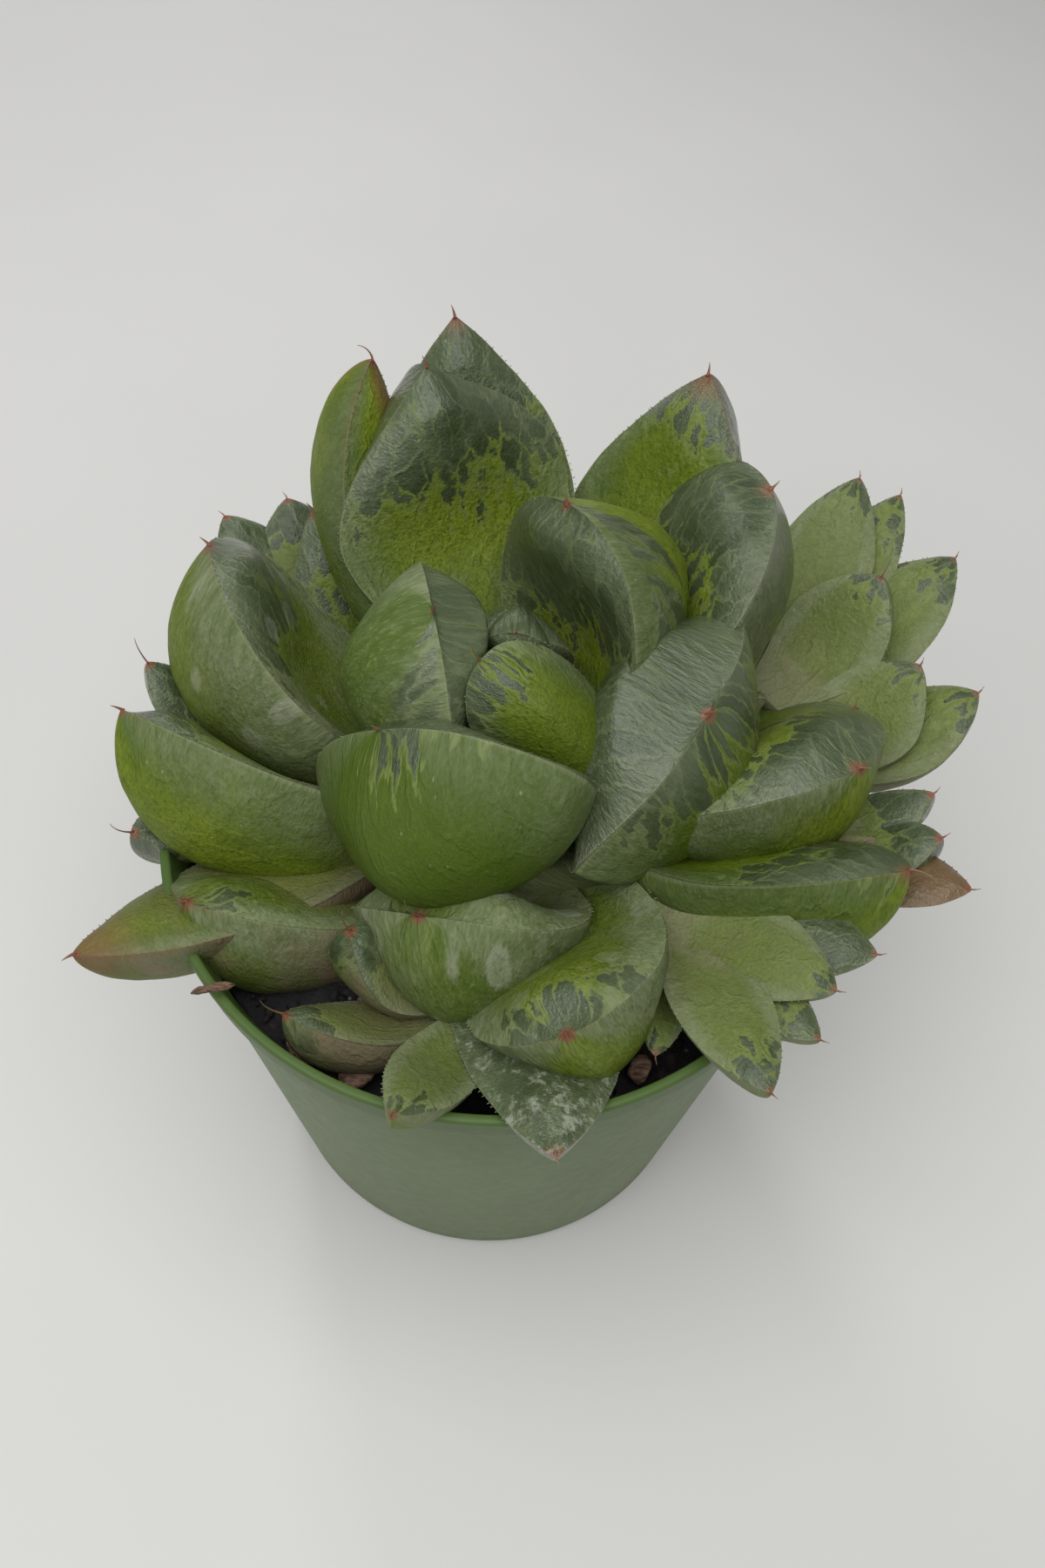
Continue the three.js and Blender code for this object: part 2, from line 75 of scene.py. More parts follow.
# The width and length of one window in the skin.
NET_CELL = (2.3, 5.0)

# The marginal teeth, and the awn's point and how far the red-brown runs on it.
TEETH_PER_MM = 0.75
TOOTH_RADIUS, TOOTH_POINT = 0.09, 0.015
AWN_POINT = 0.03
AWN_BLUSH = 4.0

Colour = tuple[float, float, float]
Triple = tuple[float, float, float]


class Detail(Enum):
    """How finely a leaf is modelled: (sides round it, rings along it)."""

    LARGE = (96, 100)
    SMALL = (48, 44)
    DRAFT = (40, 36)


def smooth(low: float, high: float, x: float) -> float:
    """An S curve from 0 at low to 1 at high."""
    t = min(1.0, max(0.0, (x - low) / (high - low)))
    return t * t * (3.0 - 2.0 * t)


# ------------------------------------------------------------------ materials


@dataclass(frozen=True)
class Value:
    """One number of a material's node tree, which takes part in sums like a plain number."""

    graph: Graph
    socket: bpy.types.NodeSocket

    def joined(self, operation: str, other: Value | float) -> Value:
        """The result of a Math node on this number and another."""
        return self.graph.math(operation, self, other)

    __add__ = partialmethod(joined, "ADD")
    __sub__ = partialmethod(joined, "SUBTRACT")
    __mul__ = partialmethod(joined, "MULTIPLY")
    __truediv__ = partialmethod(joined, "DIVIDE")
    at_most = partialmethod(joined, "MINIMUM")
    at_least = partialmethod(joined, "MAXIMUM")

    def __abs__(self) -> Value:
        """The number without its sign."""
        return self.graph.math("ABSOLUTE", self)

    def span(self, low: float, high: float, to_low: float = 0.0, to_high: float = 1.0) -> Value:
        """Maps low..high smoothly onto to_low..to_high, and holds it there."""
        made = self.graph.node("MapRange", {"interpolation_type": "SMOOTHSTEP"}, Value=self,
                               From_Min=low, From_Max=high, To_Min=to_low, To_Max=to_high)
        return Value(self.graph, made.outputs["Result"])


class Graph:
    """A material's node tree, with short calls for the nodes that the finishes share."""

    def __init__(self, name: str) -> None:
        """Makes an empty material.

        Args:
            name: the material's name.
        """
        self.material = bpy.data.materials.new(name)
        self.material.use_nodes = True
        self.tree = self.material.node_tree
        self.tree.nodes.clear()

    def node(self, kind: str, settings: dict | None = None, **inputs) -> bpy.types.Node:
        """Adds one node.

        Args:
            kind: the node's type name, without ShaderNode.
            settings: the node's own properties.
            **inputs: values or sockets for its inputs, by name, with _ for a space.

        Returns:
            The new node.
        """
        made = self.tree.nodes.new("ShaderNode" + kind)
        for key, value in (settings or {}).items():
            setattr(made, key, value)
        for key, value in inputs.items():
            self.feed(made.inputs[key.replace("_", " ")], value)
        return made

    def feed(self, socket: bpy.types.NodeSocket, value) -> None:
        """Links a socket, or sets its value."""
        if isinstance(value, Value):
            value = value.socket
        if isinstance(value, bpy.types.NodeSocket):
            self.tree.links.new(value, socket)
        elif isinstance(value, tuple) and socket.type == "RGBA":
            socket.default_value = (*value, 1.0)
        else:
            socket.default_value = value

    def feed_all(self, made: bpy.types.Node, *values) -> bpy.types.Node:
        """Feeds a node's inputs in their order."""
        for socket, value in zip(made.inputs, values):
            self.feed(socket, value)
        return made

    def math(self, operation: str, *values) -> Value:
        """A Math node."""
        return Value(self, self.feed_all(self.node("Math", {"operation": operation}), *values).outputs[0])

    def vector_math(self, operation: str, *values) -> bpy.types.Node:
        """A Vector Math node."""
        return self.feed_all(self.node("VectorMath", {"operation": operation}), *values)

    def mix(self, factor: Value, a, b) -> bpy.types.NodeSocket:
        """The colour between a and b at a factor of 0 to 1."""
        made = self.node("Mix", {"data_type": "RGBA", "clamp_factor": True})
        for index, value in ((0, factor), (6, a), (7, b)):
            self.feed(made.inputs[index], value)
        return made.outputs[2]

    def noise(self, vector, scale: float, detail: float = 2.0, roughness: float = 0.5) -> Value:
        """Noise from 0 to 1 at a vector."""
        made = self.node("TexNoise", None, Vector=vector, Scale=scale, Detail=detail, Roughness=roughness)
        return Value(self, made.outputs["Fac"])

    def cells(self, vector, scale: float) -> tuple[Value, bpy.types.NodeSocket]:
        """The distance from the middle of a scattered cell, and the cell's chance colour."""
        made = self.node("TexVoronoi", None, Vector=vector, Scale=scale)
        return Value(self, made.outputs["Distance"]), made.outputs["Color"]

    def cell_edge(self, vector, scale: float) -> Value:
        """The distance from the edge between scattered cells."""
        made = self.node("TexVoronoi", {"feature": "DISTANCE_TO_EDGE"}, Vector=vector, Scale=scale)
        return Value(self, made.outputs["Distance"])

    def parts(self, colour) -> list[Value]:
        """The three numbers of a colour."""
        return [Value(self, part) for part in self.node("SeparateColor", None, Color=colour).outputs]

    def stretch(self, vector, scale: Triple) -> bpy.types.NodeSocket:
        """Scales a vector."""
        return self.node("Mapping", None, Vector=vector, Scale=scale).outputs["Vector"]

    def place_mm(self) -> bpy.types.NodeSocket:
        """The place on the piece in millimetres."""
        return self.stretch(self.node("TexCoord").outputs["Object"], MM_PER_METRE)

    def bump(self, height: Value, depth_mm: float, strength: float, normal=None) -> bpy.types.NodeSocket:
        """Relief from a height of 0 to 1.

        Args:
            height: the height.
            depth_mm: how deep the relief is where the height is 1.
            strength: how much of it shows.
            normal: relief that it lies on, if any.

        Returns:
            The normal's socket.
        """
        made = self.node("Bump", None, Height=height, Distance=depth_mm * MM, Strength=strength)
        if normal is not None:
            self.feed(made.inputs["Normal"], normal)
        return made.outputs["Normal"]

    def finish(self, **inputs) -> bpy.types.Material:
        """Adds the surface shader and the output.

        Args:
            **inputs: the shader's values or sockets, by name, with _ for a space.

        Returns:
            The finished material.
        """
        shader = self.node("BsdfPrincipled", None, **inputs)
        self.node("OutputMaterial", None, Surface=shader.outputs["BSDF"])
        return self.material


class SkinGraph(Graph):
    """The leaf skin's node tree, with what the leaf meshes carry and where the windows lie."""

    def __init__(self, name: str) -> None:
        """Reads the mesh's attributes and lays out the windows.

        Args:
            name: the material's name.
        """
        super().__init__(name)
        self.along, self.across, self.belly, self.to_tip = self.carried("place")
        self.window, self.patch, self.wax, self.blush = self.carried("traits")
        self.pink, self.crust, self.spots, self.skew = self.carried("marks")
        self.slot, self.slot_at, self.slot_wide, self.lean = self.carried("slots")
        self.skin = self.node("Attribute", {"attribute_name": "skin"}).outputs["Vector"]
        self.outward = abs(self.across)
        self.wander = self.noise(self.skin, 0.16, 3.0) - 0.5
        self.flecks = self.noise(self.skin, 1.3, 3.0, 0.6) - 0.5
        self.grain = self.noise(self.skin, 2.5, 3.0, 0.7) - 0.5
        self.fingers = self.noise(self.stretch(self.skin, (0.42, 0.07, 1.0)), 1.0) - 0.5
        self.lay_windows()

    def carried(self, name: str) -> tuple[Value, ...]:
        """The four numbers that a mesh carries under a name."""
        made = self.node("Attribute", {"attribute_name": name})
        return (*self.parts(made.outputs["Color"]), Value(self, made.outputs["Alpha"]))

    def lay_windows(self) -> None:
        """Lays out the windows as ragged cells that close towards the zone's lower edge."""
        net = self.node("Attribute", {"attribute_name": "net"}).outputs["Vector"]
        warp = self.node("TexNoise", None, Vector=self.skin, Scale=0.5, Detail=4.0).outputs["Color"]
        bent = self.vector_math("MULTIPLY_ADD", warp, (1.2, 0.6, 0.0), net).outputs[0]
        # How far into the windowed zone a place is: 0 at its ragged lower edge.
        depth_in = self.across * self.skew + self.along - 1.0 + self.window
        self.depth_in = depth_in + self.wander * 0.5 + self.fingers * 0.16 + self.flecks * 0.16
        edge = self.cell_edge(bent, 1.0) + self.flecks * 0.12
        self.cell_tint, cell_size, _ = self.parts(self.cells(bent, 1.0)[1])
        closing = self.depth_in.span(-0.1, 0.26, 0.5, -0.19) + cell_size * 0.14
        self.inside = edge - closing
        self.in_window = self.inside.span(-0.02, 0.13).at_least(self.in_slots(bent))
        veins = edge.span(0.13, 0.0) * self.depth_in.span(0.05, 0.35, 1.0, 0.6)
        self.veins = veins * self.noise(self.skin, 0.2).span(0.35, 0.58, 0.45, 1.0)
        self.fine_veins = self.cell_edge(bent, 3.3).span(0.12, 0.01) * 0.18

    def in_slots(self, bent: bpy.types.NodeSocket) -> Value:
        """Where the long dark slots lie down the belly, beside the keel."""
        aside = self.wander * 0.12 + self.across - self.slot_at
        band = (abs(aside) - self.slot_wide).span(0.05, 0.0)
        above_end = (self.fingers * 0.4 + self.along + self.slot).span(1.0, 1.06)
        cell = self.cell_edge(self.stretch(bent, (0.6, 0.22, 1.0)), 1.0).span(0.03, 0.11)
        return cell * band * above_end * self.slot.span(0.02, 0.1)


@dataclass(frozen=True)
class LeafSkin:
    """Waxy succulent skin: dark glossy windows in a net of veins, and green below them."""

    name: str = "leaf_skin"
    base_green: Colour = (0.22, 0.252, 0.078)
    deep_green: Colour = (0.058, 0.102, 0.005)
    yellow_green: Colour = (0.175, 0.235, 0.01)
    window: Colour = (0.036, 0.056, 0.02)
    window_haze: Colour = (0.066, 0.092, 0.042)
    # Pale veins: partly their own paler tissue, partly a painted highlight on their raised ridges.
    vein_and_highlight: Colour = (0.135, 0.168, 0.082)
    crust_edge: Colour = (0.19, 0.24, 0.06)
    wax: Colour = (0.225, 0.262, 0.145)
    margin: Colour = (0.3, 0.325, 0.19)
    blush: Colour = (0.215, 0.108, 0.05)
    tip: Colour = (0.22, 0.092, 0.05)
    pink: Colour = (0.215, 0.165, 0.1)
    mineral: Colour = (0.48, 0.5, 0.4)
    matt: float = 0.48
    glossy: float = 0.2
    thickest_film: float = 0.88
    grain_mm: float = 0.19
    wave_mm: float = 0.5
    net_mm: float = 0.2

    def material(self) -> bpy.types.Material:
        """Builds the leaf's material from the attributes that the leaf meshes carry."""
        g = SkinGraph(self.name)
        film = self.film(g)
        dust = self.dust(g)
        colour = self.windowed(g, self.green(g))
        colour = g.mix(film, colour, self.wax)
        colour = g.mix(dust * 0.6, self.reddened(g, colour), self.mineral)
        rough = film * 0.22 + g.in_window.span(0.0, 1.0, self.matt, self.glossy)
        normal = self.relief(g)
        return g.finish(Normal=normal, Base_Color=colour, Roughness=rough.at_least(dust * 0.8),
                        Subsurface_Weight=0.14, Subsurface_Radius=(0.9, 1.0, 0.35),
                        Subsurface_Scale=1.0 * MM, Specular_IOR_Level=0.24,
                        Coat_Roughness=self.glossy, Coat_Normal=normal, Coat_Weight=g.in_window * 0.6)

    def green(self, g: SkinGraph) -> bpy.types.NodeSocket:
        """The opaque green: pale at the base, yellow-green in the middle, deep elsewhere."""
        colour = g.mix((g.along + g.wander).span(0.08, 0.42), self.base_green, self.deep_green)
        middle = (g.wander * 0.9 + g.along).span(0.2, 0.5) * (g.wander * 0.8 + g.outward).span(1.0, 0.35)
        colour = g.mix(middle * g.patch, colour, self.yellow_green)
        mottle = g.noise(g.skin, 0.55, 5.0, 0.7)
        chalky = g.wax.span(0.2, 0.8, 0.15, 0.9)
        colour = g.mix(mottle.span(0.5, 0.66, 0.0, 0.45), colour, self.deep_green)
        colour = g.mix(mottle.span(0.48, 0.36, 0.0, 0.4) * chalky, colour, self.crust_edge)
        colour = g.mix(g.grain.span(-0.2, 0.08, 0.72, 0.0), colour, self.deep_green)
        return g.mix(g.grain.span(0.02, 0.22, 0.0, 0.72) * chalky, colour, self.crust_edge)

    def windowed(self, g: SkinGraph, green: bpy.types.NodeSocket) -> bpy.types.NodeSocket:
        """Adds the windows: smooth dark tissue with soft veins, whose pale colour is partly a painted
        highlight, and a crusty yellow-green rim.
        """
        clear = g.cell_tint * 0.35 + g.noise(g.skin, 0.3, 3.0) + g.depth_in.span(0.05, 0.5, 0.0, 0.25)
        glass = g.mix(clear.span(0.5, 0.95), self.window, self.window_haze)
        # The veins' pale colour is partly a painted highlight on their ridges.
        glass = g.mix(g.veins.at_least(g.fine_veins), glass, self.vein_and_highlight)
        rim = g.inside.span(-0.13, -0.03) * g.in_window.span(0.85, 0.25)
        rim = rim * g.flecks.span(-0.1, 0.1, 0.35, 0.75)
        return g.mix(rim, g.mix(g.in_window, green, glass), self.crust_edge)

    def film(self, g: SkinGraph) -> Value:
        """How thick the wax film is: thickest at the margins and the base, thin in the windows."""
        keel = g.belly * g.outward.span(0.3, 0.0)
        rims = g.outward.span(0.5, 1.0, 0.0, 1.4) + keel * 0.08 + g.along.span(0.36, 0.04, 0.0, 0.7)
        cloud = g.noise(g.skin, 0.085, 4.0, 0.6).span(0.42, 0.7, 0.12, 0.55)
        film = (cloud * g.wax + rims * (g.wax * 0.8 + 0.2)).at_most(self.thickest_film)
        streak = g.noise(g.stretch(g.skin, (1.1, 0.75, 1.0)), 1.0, 5.0, 0.7).span(0.3, 0.7, 0.5, 1.05)
        film = film * streak * g.grain.span(-0.2, 0.2, 0.65, 1.15)
        return film * g.in_window.span(0.2, 1.0, 1.0, 0.4)

    def reddened(self, g: SkinGraph, colour: bpy.types.NodeSocket) -> bpy.types.NodeSocket:
        """Adds the pale line on the margins, the red-brown of the tip and the pink of the base."""
        line = g.outward.span(0.984, 0.997) * g.along.span(0.2, 0.5, 0.0, 0.3)
        colour = g.mix(line, colour, self.margin)
        near_tip = (g.wander * 1.6 + g.to_tip) / g.blush.at_least(0.1) - g.lean * g.across * 1.6
        colour = g.mix(near_tip.span(1.4, 0.2) * 0.7, colour, self.blush)
        at_edge = g.outward.span(0.9, 0.99) * near_tip.span(3.5, 1.0)
        colour = g.mix(at_edge * 0.35, colour, self.blush)
        colour = g.mix(g.to_tip.span(1.15, 0.45) * g.blush.span(0.35, 0.7), colour, self.tip)
        height = g.along + g.wander - (g.pink - 1.0).at_least(0.0)
        low = height.span(0.62, 0.1) * g.pink * g.belly.span(0.0, 1.0, 0.25, 1.0)
        return g.mix(low, colour, self.pink)

    def dust(self, g: SkinGraph) -> Value:
        """Where white water marks, mineral crust and stray specks lie."""
        blot = g.cells(g.skin, 0.16)[0] + g.flecks * 0.16
        mark = blot.span(0.3, 0.2) * blot.span(0.02, 0.24, 0.45, 1.0) * g.spots
        crusty = g.noise(g.skin, 0.55, 6.0, 0.75).span(0.5, 0.64) * g.crust
        speck, tint = g.cells(g.skin, 0.62)
        bright = speck.span(0.1, 0.04) * g.parts(tint)[0].span(0.74, 0.78)
        return (bright * 0.55).at_least(mark.at_least(crusty))

    def relief(self, g: SkinGraph) -> bpy.types.NodeSocket:
        """The skin's relief: sunken windows with raised veins and waves, and a fine grain."""
        sunken = g.in_window.span(0.0, 1.0) * -0.5 + 0.6
        normal = g.bump(g.veins * 0.55 + sunken, self.net_mm, 0.7)
        waves = g.noise(g.stretch(g.skin, (0.75, 0.5, 1.0)), 1.0, 3.0) * g.in_window
        normal = g.bump(waves, self.wave_mm, 0.45, normal)
        normal = g.bump(g.grain + 0.5, self.grain_mm, 0.9, normal)
        return g.bump(g.noise(g.skin, 0.9, 4.0, 0.6), self.net_mm, 0.55, normal)


@dataclass(frozen=True)
class PotPlastic:
    """Thin green-grey moulded plastic, a little see-through where no soil backs it."""

    name: str = "pot_plastic"
    wall: Colour = (0.118, 0.174, 0.062)
    shade: Colour = (0.076, 0.12, 0.036)
    lit_rim: Colour = (0.07, 0.122, 0.026)
    # Painted shade: a darker copy of the wall's green for the pot's inside, which is the same plastic.
    shaded_inner_wall: Colour = (0.055, 0.095, 0.018)
    # Pale dust: real grime and specks, and also a painted highlight line along the collar's step.
    dust: Colour = (0.26, 0.29, 0.215)
    # A paler green: the random scuffed tone, and also painted light on the lower wall.
    scuff_and_lit: Colour = (0.156, 0.214, 0.092)

    def material(self, height: float, collar: float) -> bpy.types.Material:
        """Builds the pot's material.

        Args:
            height: the pot's height in millimetres.
            collar: how deep the collar is.

        Returns:
            The material.
        """
        g = Graph(self.name)
        coordinates = g.node("TexCoord")
        place = coordinates.outputs["Object"]
        in_mm = g.stretch(place, MM_PER_METRE)
        level = Value(g, g.node("SeparateXYZ", None, Vector=in_mm).outputs["Z"])
        colour = g.mix(g.noise(in_mm, 0.05, 4.0, 0.55).span(0.35, 0.7, 0.0, 0.6), self.wall, self.scuff_and_lit)
        # Painted light: the wall grows paler towards the bottom.
        colour = g.mix(level.span(34.0, 8.0, 0.0, 0.8), colour, self.scuff_and_lit)
        colour = g.mix(level.span(36.0, 56.0, 0.0, 0.55), colour, self.shade)
        streaks = g.noise(g.stretch(in_mm, (0.18, 0.18, 0.03)), 1.0, 4.0, 0.6)
        colour = g.mix(streaks.span(0.45, 0.75, 0.0, 0.18), colour, self.shade)
        low = height - collar
        band = level.span(low - 0.3, low + 0.3) * level.span(height - 0.9, height - 1.5)
        colour = g.mix(band * 0.6, colour, self.shade)
        # Painted highlight: a pale line along the collar's step.
        colour = g.mix(abs(level - low).span(0.3, 0.05, 0.0, 0.45), colour, self.dust)
        colour = g.mix(level.span(height - 1.0, height - 0.3, 0.0, 0.9), colour, self.lit_rim)
        # Painted shade: faces turned in towards the pot's axis take the darker inner colour.
        facing = g.vector_math("DOT_PRODUCT", place, coordinates.outputs["Normal"])
        inward = Value(g, facing.outputs["Value"]).span(0.0, -0.01, 0.0, 0.9)
        colour = g.mix(inward, colour, self.shaded_inner_wall)
        colour = g.mix(level.span(4.5, 0.5, 0.0, 0.55), colour, self.shade)
        grime = g.noise(in_mm, 0.3, 6.0, 0.75).span(0.6, 0.72) * level.span(40.0, 4.0, 0.1, 0.3)
        colour = g.mix(grime, colour, self.dust)
        colour = g.mix(g.cells(in_mm, 0.45)[0].span(0.1, 0.05, 0.0, 0.35), colour, self.dust)
        normal = g.bump(g.noise(g.stretch(in_mm, (1.0, 1.0, 0.08)), 0.25, 3.0), 0.05, 0.25)
        normal = g.bump(g.noise(in_mm, 5.0, 3.0, 0.6), 0.015, 0.4, normal)
        return g.finish(Normal=normal, Base_Color=colour,
                        Roughness=g.noise(in_mm, 0.6, 5.0, 0.6).span(0.3, 0.7, 0.43, 0.49),
                        Subsurface_Weight=0.2, Subsurface_Radius=(1.0, 1.3, 0.7),
                        Subsurface_Scale=1.6 * MM, Specular_IOR_Level=0.32)


@dataclass(frozen=True)
class SoilMix:
    """Dark damp potting mix: peat, bark dust and grit."""

    name: str = "potting_mix"
    wet: Colour = (0.004, 0.004, 0.007)
    dry: Colour = (0.022, 0.018, 0.019)
    fibre: Colour = (0.07, 0.044, 0.03)
    grit: Colour = (0.3, 0.29, 0.27)

    def material(self) -> bpy.types.Material:
        """Builds the soil's material."""
        g = Graph(self.name)
        in_mm = g.place_mm()
        lumps = g.noise(in_mm, 0.55, 6.0, 0.7)
        colour = g.mix(lumps.span(0.4, 0.66), self.wet, self.dry)
        colour = g.mix(g.noise(in_mm, 0.22, 4.0, 0.6).span(0.58, 0.68, 0.0, 0.7), colour, self.fibre)
        pebble, tint = g.cells(in_mm, 0.55)
        bits = pebble.span(0.28, 0.18) * g.parts(tint)[1].span(0.88, 0.91)
        colour = g.mix(bits * 0.8, colour, self.grit)
        normal = g.bump(lumps, 0.9, 0.8)
        normal = g.bump(g.noise(in_mm, 2.4, 4.0, 0.65), 0.25, 0.8, normal)
        return g.finish(Normal=normal, Base_Color=colour, Roughness=lumps.span(0.35, 0.65, 0.62, 0.95))


@dataclass(frozen=True)
class FibrousFinish:
    """Fibrous dead plant matter, such as bark, a stalk's skin or a dried leaf."""

    name: str
    dark: Colour
    light: Colour
    grain: Triple
    roughness: float = 0.85
    relief_mm: float = 0.25

    def material(self) -> bpy.types.Material:
        """Builds the material, with its fibres along the least of grain's scales."""
        g = Graph(self.name)
        in_mm = g.place_mm()
        fibres = g.noise(g.stretch(in_mm, self.grain), 1.0, 6.0, 0.65)
        colour = g.mix(fibres.span(0.36, 0.66), self.dark, self.light)
        colour = g.mix(g.noise(in_mm, 0.35, 4.0, 0.6).span(0.5, 0.7, 0.0, 0.6), colour, self.dark)
        normal = g.bump(fibres, self.relief_mm, 0.8)
        normal = g.bump(g.noise(in_mm, 3.0, 3.0), 0.08, 0.6, normal)
        return g.finish(Normal=normal, Base_Color=colour, Roughness=self.roughness)


@dataclass(frozen=True)
class PaperFloor:
    """The pale matt sheet that the pot stands on."""

    name: str = "pale_floor"
    sheet: Colour = (0.7, 0.696, 0.68)
    mottle: float = 0.97

    def material(self) -> bpy.types.Material:
        """Builds the floor's material, with a very faint mottle."""
        g = Graph(self.name)
        darker = tuple(self.mottle * part for part in self.sheet)
        cloud = g.noise(g.node("TexCoord").outputs["Object"], 9.0, 3.0)
        return g.finish(Base_Color=g.mix(cloud.span(0.35, 0.65), self.sheet, darker), Roughness=0.8)


# --------------------------------------------------------------------- meshes


def object_from(bm: bmesh.types.BMesh, name: str) -> bpy.types.Object:
    """Turns a bmesh in millimetres into an object in the scene, and frees it."""
    bmesh.ops.scale(bm, vec=(MM, MM, MM), verts=bm.verts)
    mesh = bpy.data.meshes.new(name)
    bm.to_mesh(mesh)
    bm.free()
    made = bpy.data.objects.new(name, mesh)
    bpy.context.scene.collection.objects.link(made)
    return made


def piece_from(bm: bmesh.types.BMesh, name: str, material: bpy.types.Material,
               nodes: tuple[str, ...]) -> bpy.types.Object:
    """Turns a bmesh in millimetres into a finished piece of the object.

    Args:
        bm: the mesh, which is freed.
        name: the piece's name.
        material: its finish.
        nodes: the solids that the piece stands for.

    Returns:
        The piece, which rides on the object's one body.
    """
    bmesh.ops.recalc_face_normals(bm, faces=bm.faces)
    if bm.calc_volume(signed=True) < 0.0:
        bmesh.ops.reverse_faces(bm, faces=bm.faces)
    for face in bm.faces:
        face.smooth = True
    piece = object_from(bm, name)
    piece.data.materials.append(material)
    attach(piece, BODY)
    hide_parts(*nodes)
    LOG.info("%s: %d faces", name, len(piece.data.polygons))
    return piece


def turn_to(direction: Vector) -> Matrix:
    """The turn that takes +Z to a direction."""
    return direction.to_track_quat("Z", "Y").to_matrix().to_4x4()


def spun(outline: list[tuple[float, float]], turns: int) -> bmesh.types.BMesh:
    """A closed round body.

    Args:
        outline: its outline as (radius, height), from axis to axis.
        turns: how many sides it has.

    Returns:
        The mesh, in millimetres.
    """
    bm = bmesh.new()
    verts = [bm.verts.new((radius, 0.0, z)) for radius, z in outline]
    edges = [bm.edges.new(pair) for pair in zip(verts, verts[1:])]
    bmesh.ops.spin(bm, geom=verts + edges, cent=(0, 0, 0), axis=(0, 0, 1), angle=2.0 * math.pi,
                   steps=turns, use_merge=True, use_duplicate=False)
    bmesh.ops.remove_doubles(bm, verts=bm.verts, dist=0.001)
    return bm


def add_tube(bm: bmesh.types.BMesh, low_radius: float, high_radius: float, length: float, sides: int,
             rings: int) -> list[bmesh.types.BMVert]:
    """Adds a closed upright tube that can be bent, centred on the origin.

    Args:
        bm: the mesh.
        low_radius: the radius at its lower end.
        high_radius: the radius at its upper end.
        length: how long it is.
        sides: how many sides it has.
        rings: how many lengths it is divided into.

    Returns:
        The tube's vertices.
    """
    made = bmesh.ops.create_uvsphere(bm, u_segments=sides, v_segments=rings + 2, radius=1.0)
    for vert in made["verts"]:
        ring = (1.0 - math.acos(max(-1.0, min(1.0, vert.co.z))) / math.pi) * (rings + 2)
        share = min(1.0, max(0.0, (ring - 1.0) / rings))
        radius = low_radius + (high_radius - low_radius) * share
        flat = Vector((vert.co.x, vert.co.y, 0.0))
        if flat.length > NEARLY_ZERO:
            flat = flat.normalized() * radius
        vert.co = flat + Vector((0.0, 0.0, (share - 0.5) * length))
    return made["verts"]


# -------------------------------------------------------------------- rosette


@dataclass(frozen=True)
class Rosette:
    """A rosette's own axes: height along its axis, and compass angles round it."""

    centre: Triple
    lean: float = 0.0

    def turn(self) -> Matrix:
        """The turn from upright to the rosette's lean towards the viewer."""
        return Matrix.Rotation(math.radians(self.lean), 3, "X")

    def axis(self) -> Vector:
        """The direction that the rosette grows in."""
        return self.turn() @ Vector((0.0, 0.0, 1.0))

    def outward(self, angle: float) -> Vector:
        """The direction away from the axis at a compass angle."""
        a = math.radians(angle)
        return self.turn() @ Vector((math.cos(a), math.sin(a), 0.0))

    def point(self, place: Triple) -> Vector:
        """The point at [angle, distance, height]."""
        angle, distance, height = place
        return Vector(self.centre) + self.outward(angle) * distance + self.axis() * height


@dataclass(frozen=True)
class Look:
    """What marks one leaf's skin, each from 0 to 1 unless it says otherwise.

    window is the share of the upper face that is windowed from the tip down, under that
    of the belly, and skew turns the zone's lower edge towards one margin. patch is the
    yellow-green middle, wax the grey film, blush how far the red-brown runs from the
    tip in millimetres, pink the colour of the base, crust a white mineral crust and
    spots white water marks. slot is how far long dark slots run down the belly from the
    tip, slot_at where they lie between the margins, from -1 to 1, and slot_wide half the
    width of their band. lean is the side that the red-brown keeps to, from -1 to 1.
    """

    window: float = 0.45
    under: float = 0.35
    patch: float = 0.5
    wax: float = 0.35
    blush: float = 0.8
    pink: float = 0.0
    crust: float = 0.0
    spots: float = 0.0
    skew: float = 0.0
    slot: float = 0.0
    slot_at: float = 0.0
    slot_wide: float = 0.12
    lean: float = 0.0


@dataclass(frozen=True)
class Awn:
    """The bristle at a leaf's tip: its length, thickness, and how far it hooks over."""

    length: float = 1.6
    radius: float = 0.22
    hook: float = 20.0
    turn: float = 0.0


@dataclass
class Section:
    """One cross-section of a leaf, with the sizes and directions there."""

    middle: Vector
    along: Vector
    normal: Vector
    lateral: Vector
    broad: float
    half_width: float
    keel_depth: float
    crown: float
    keel: float


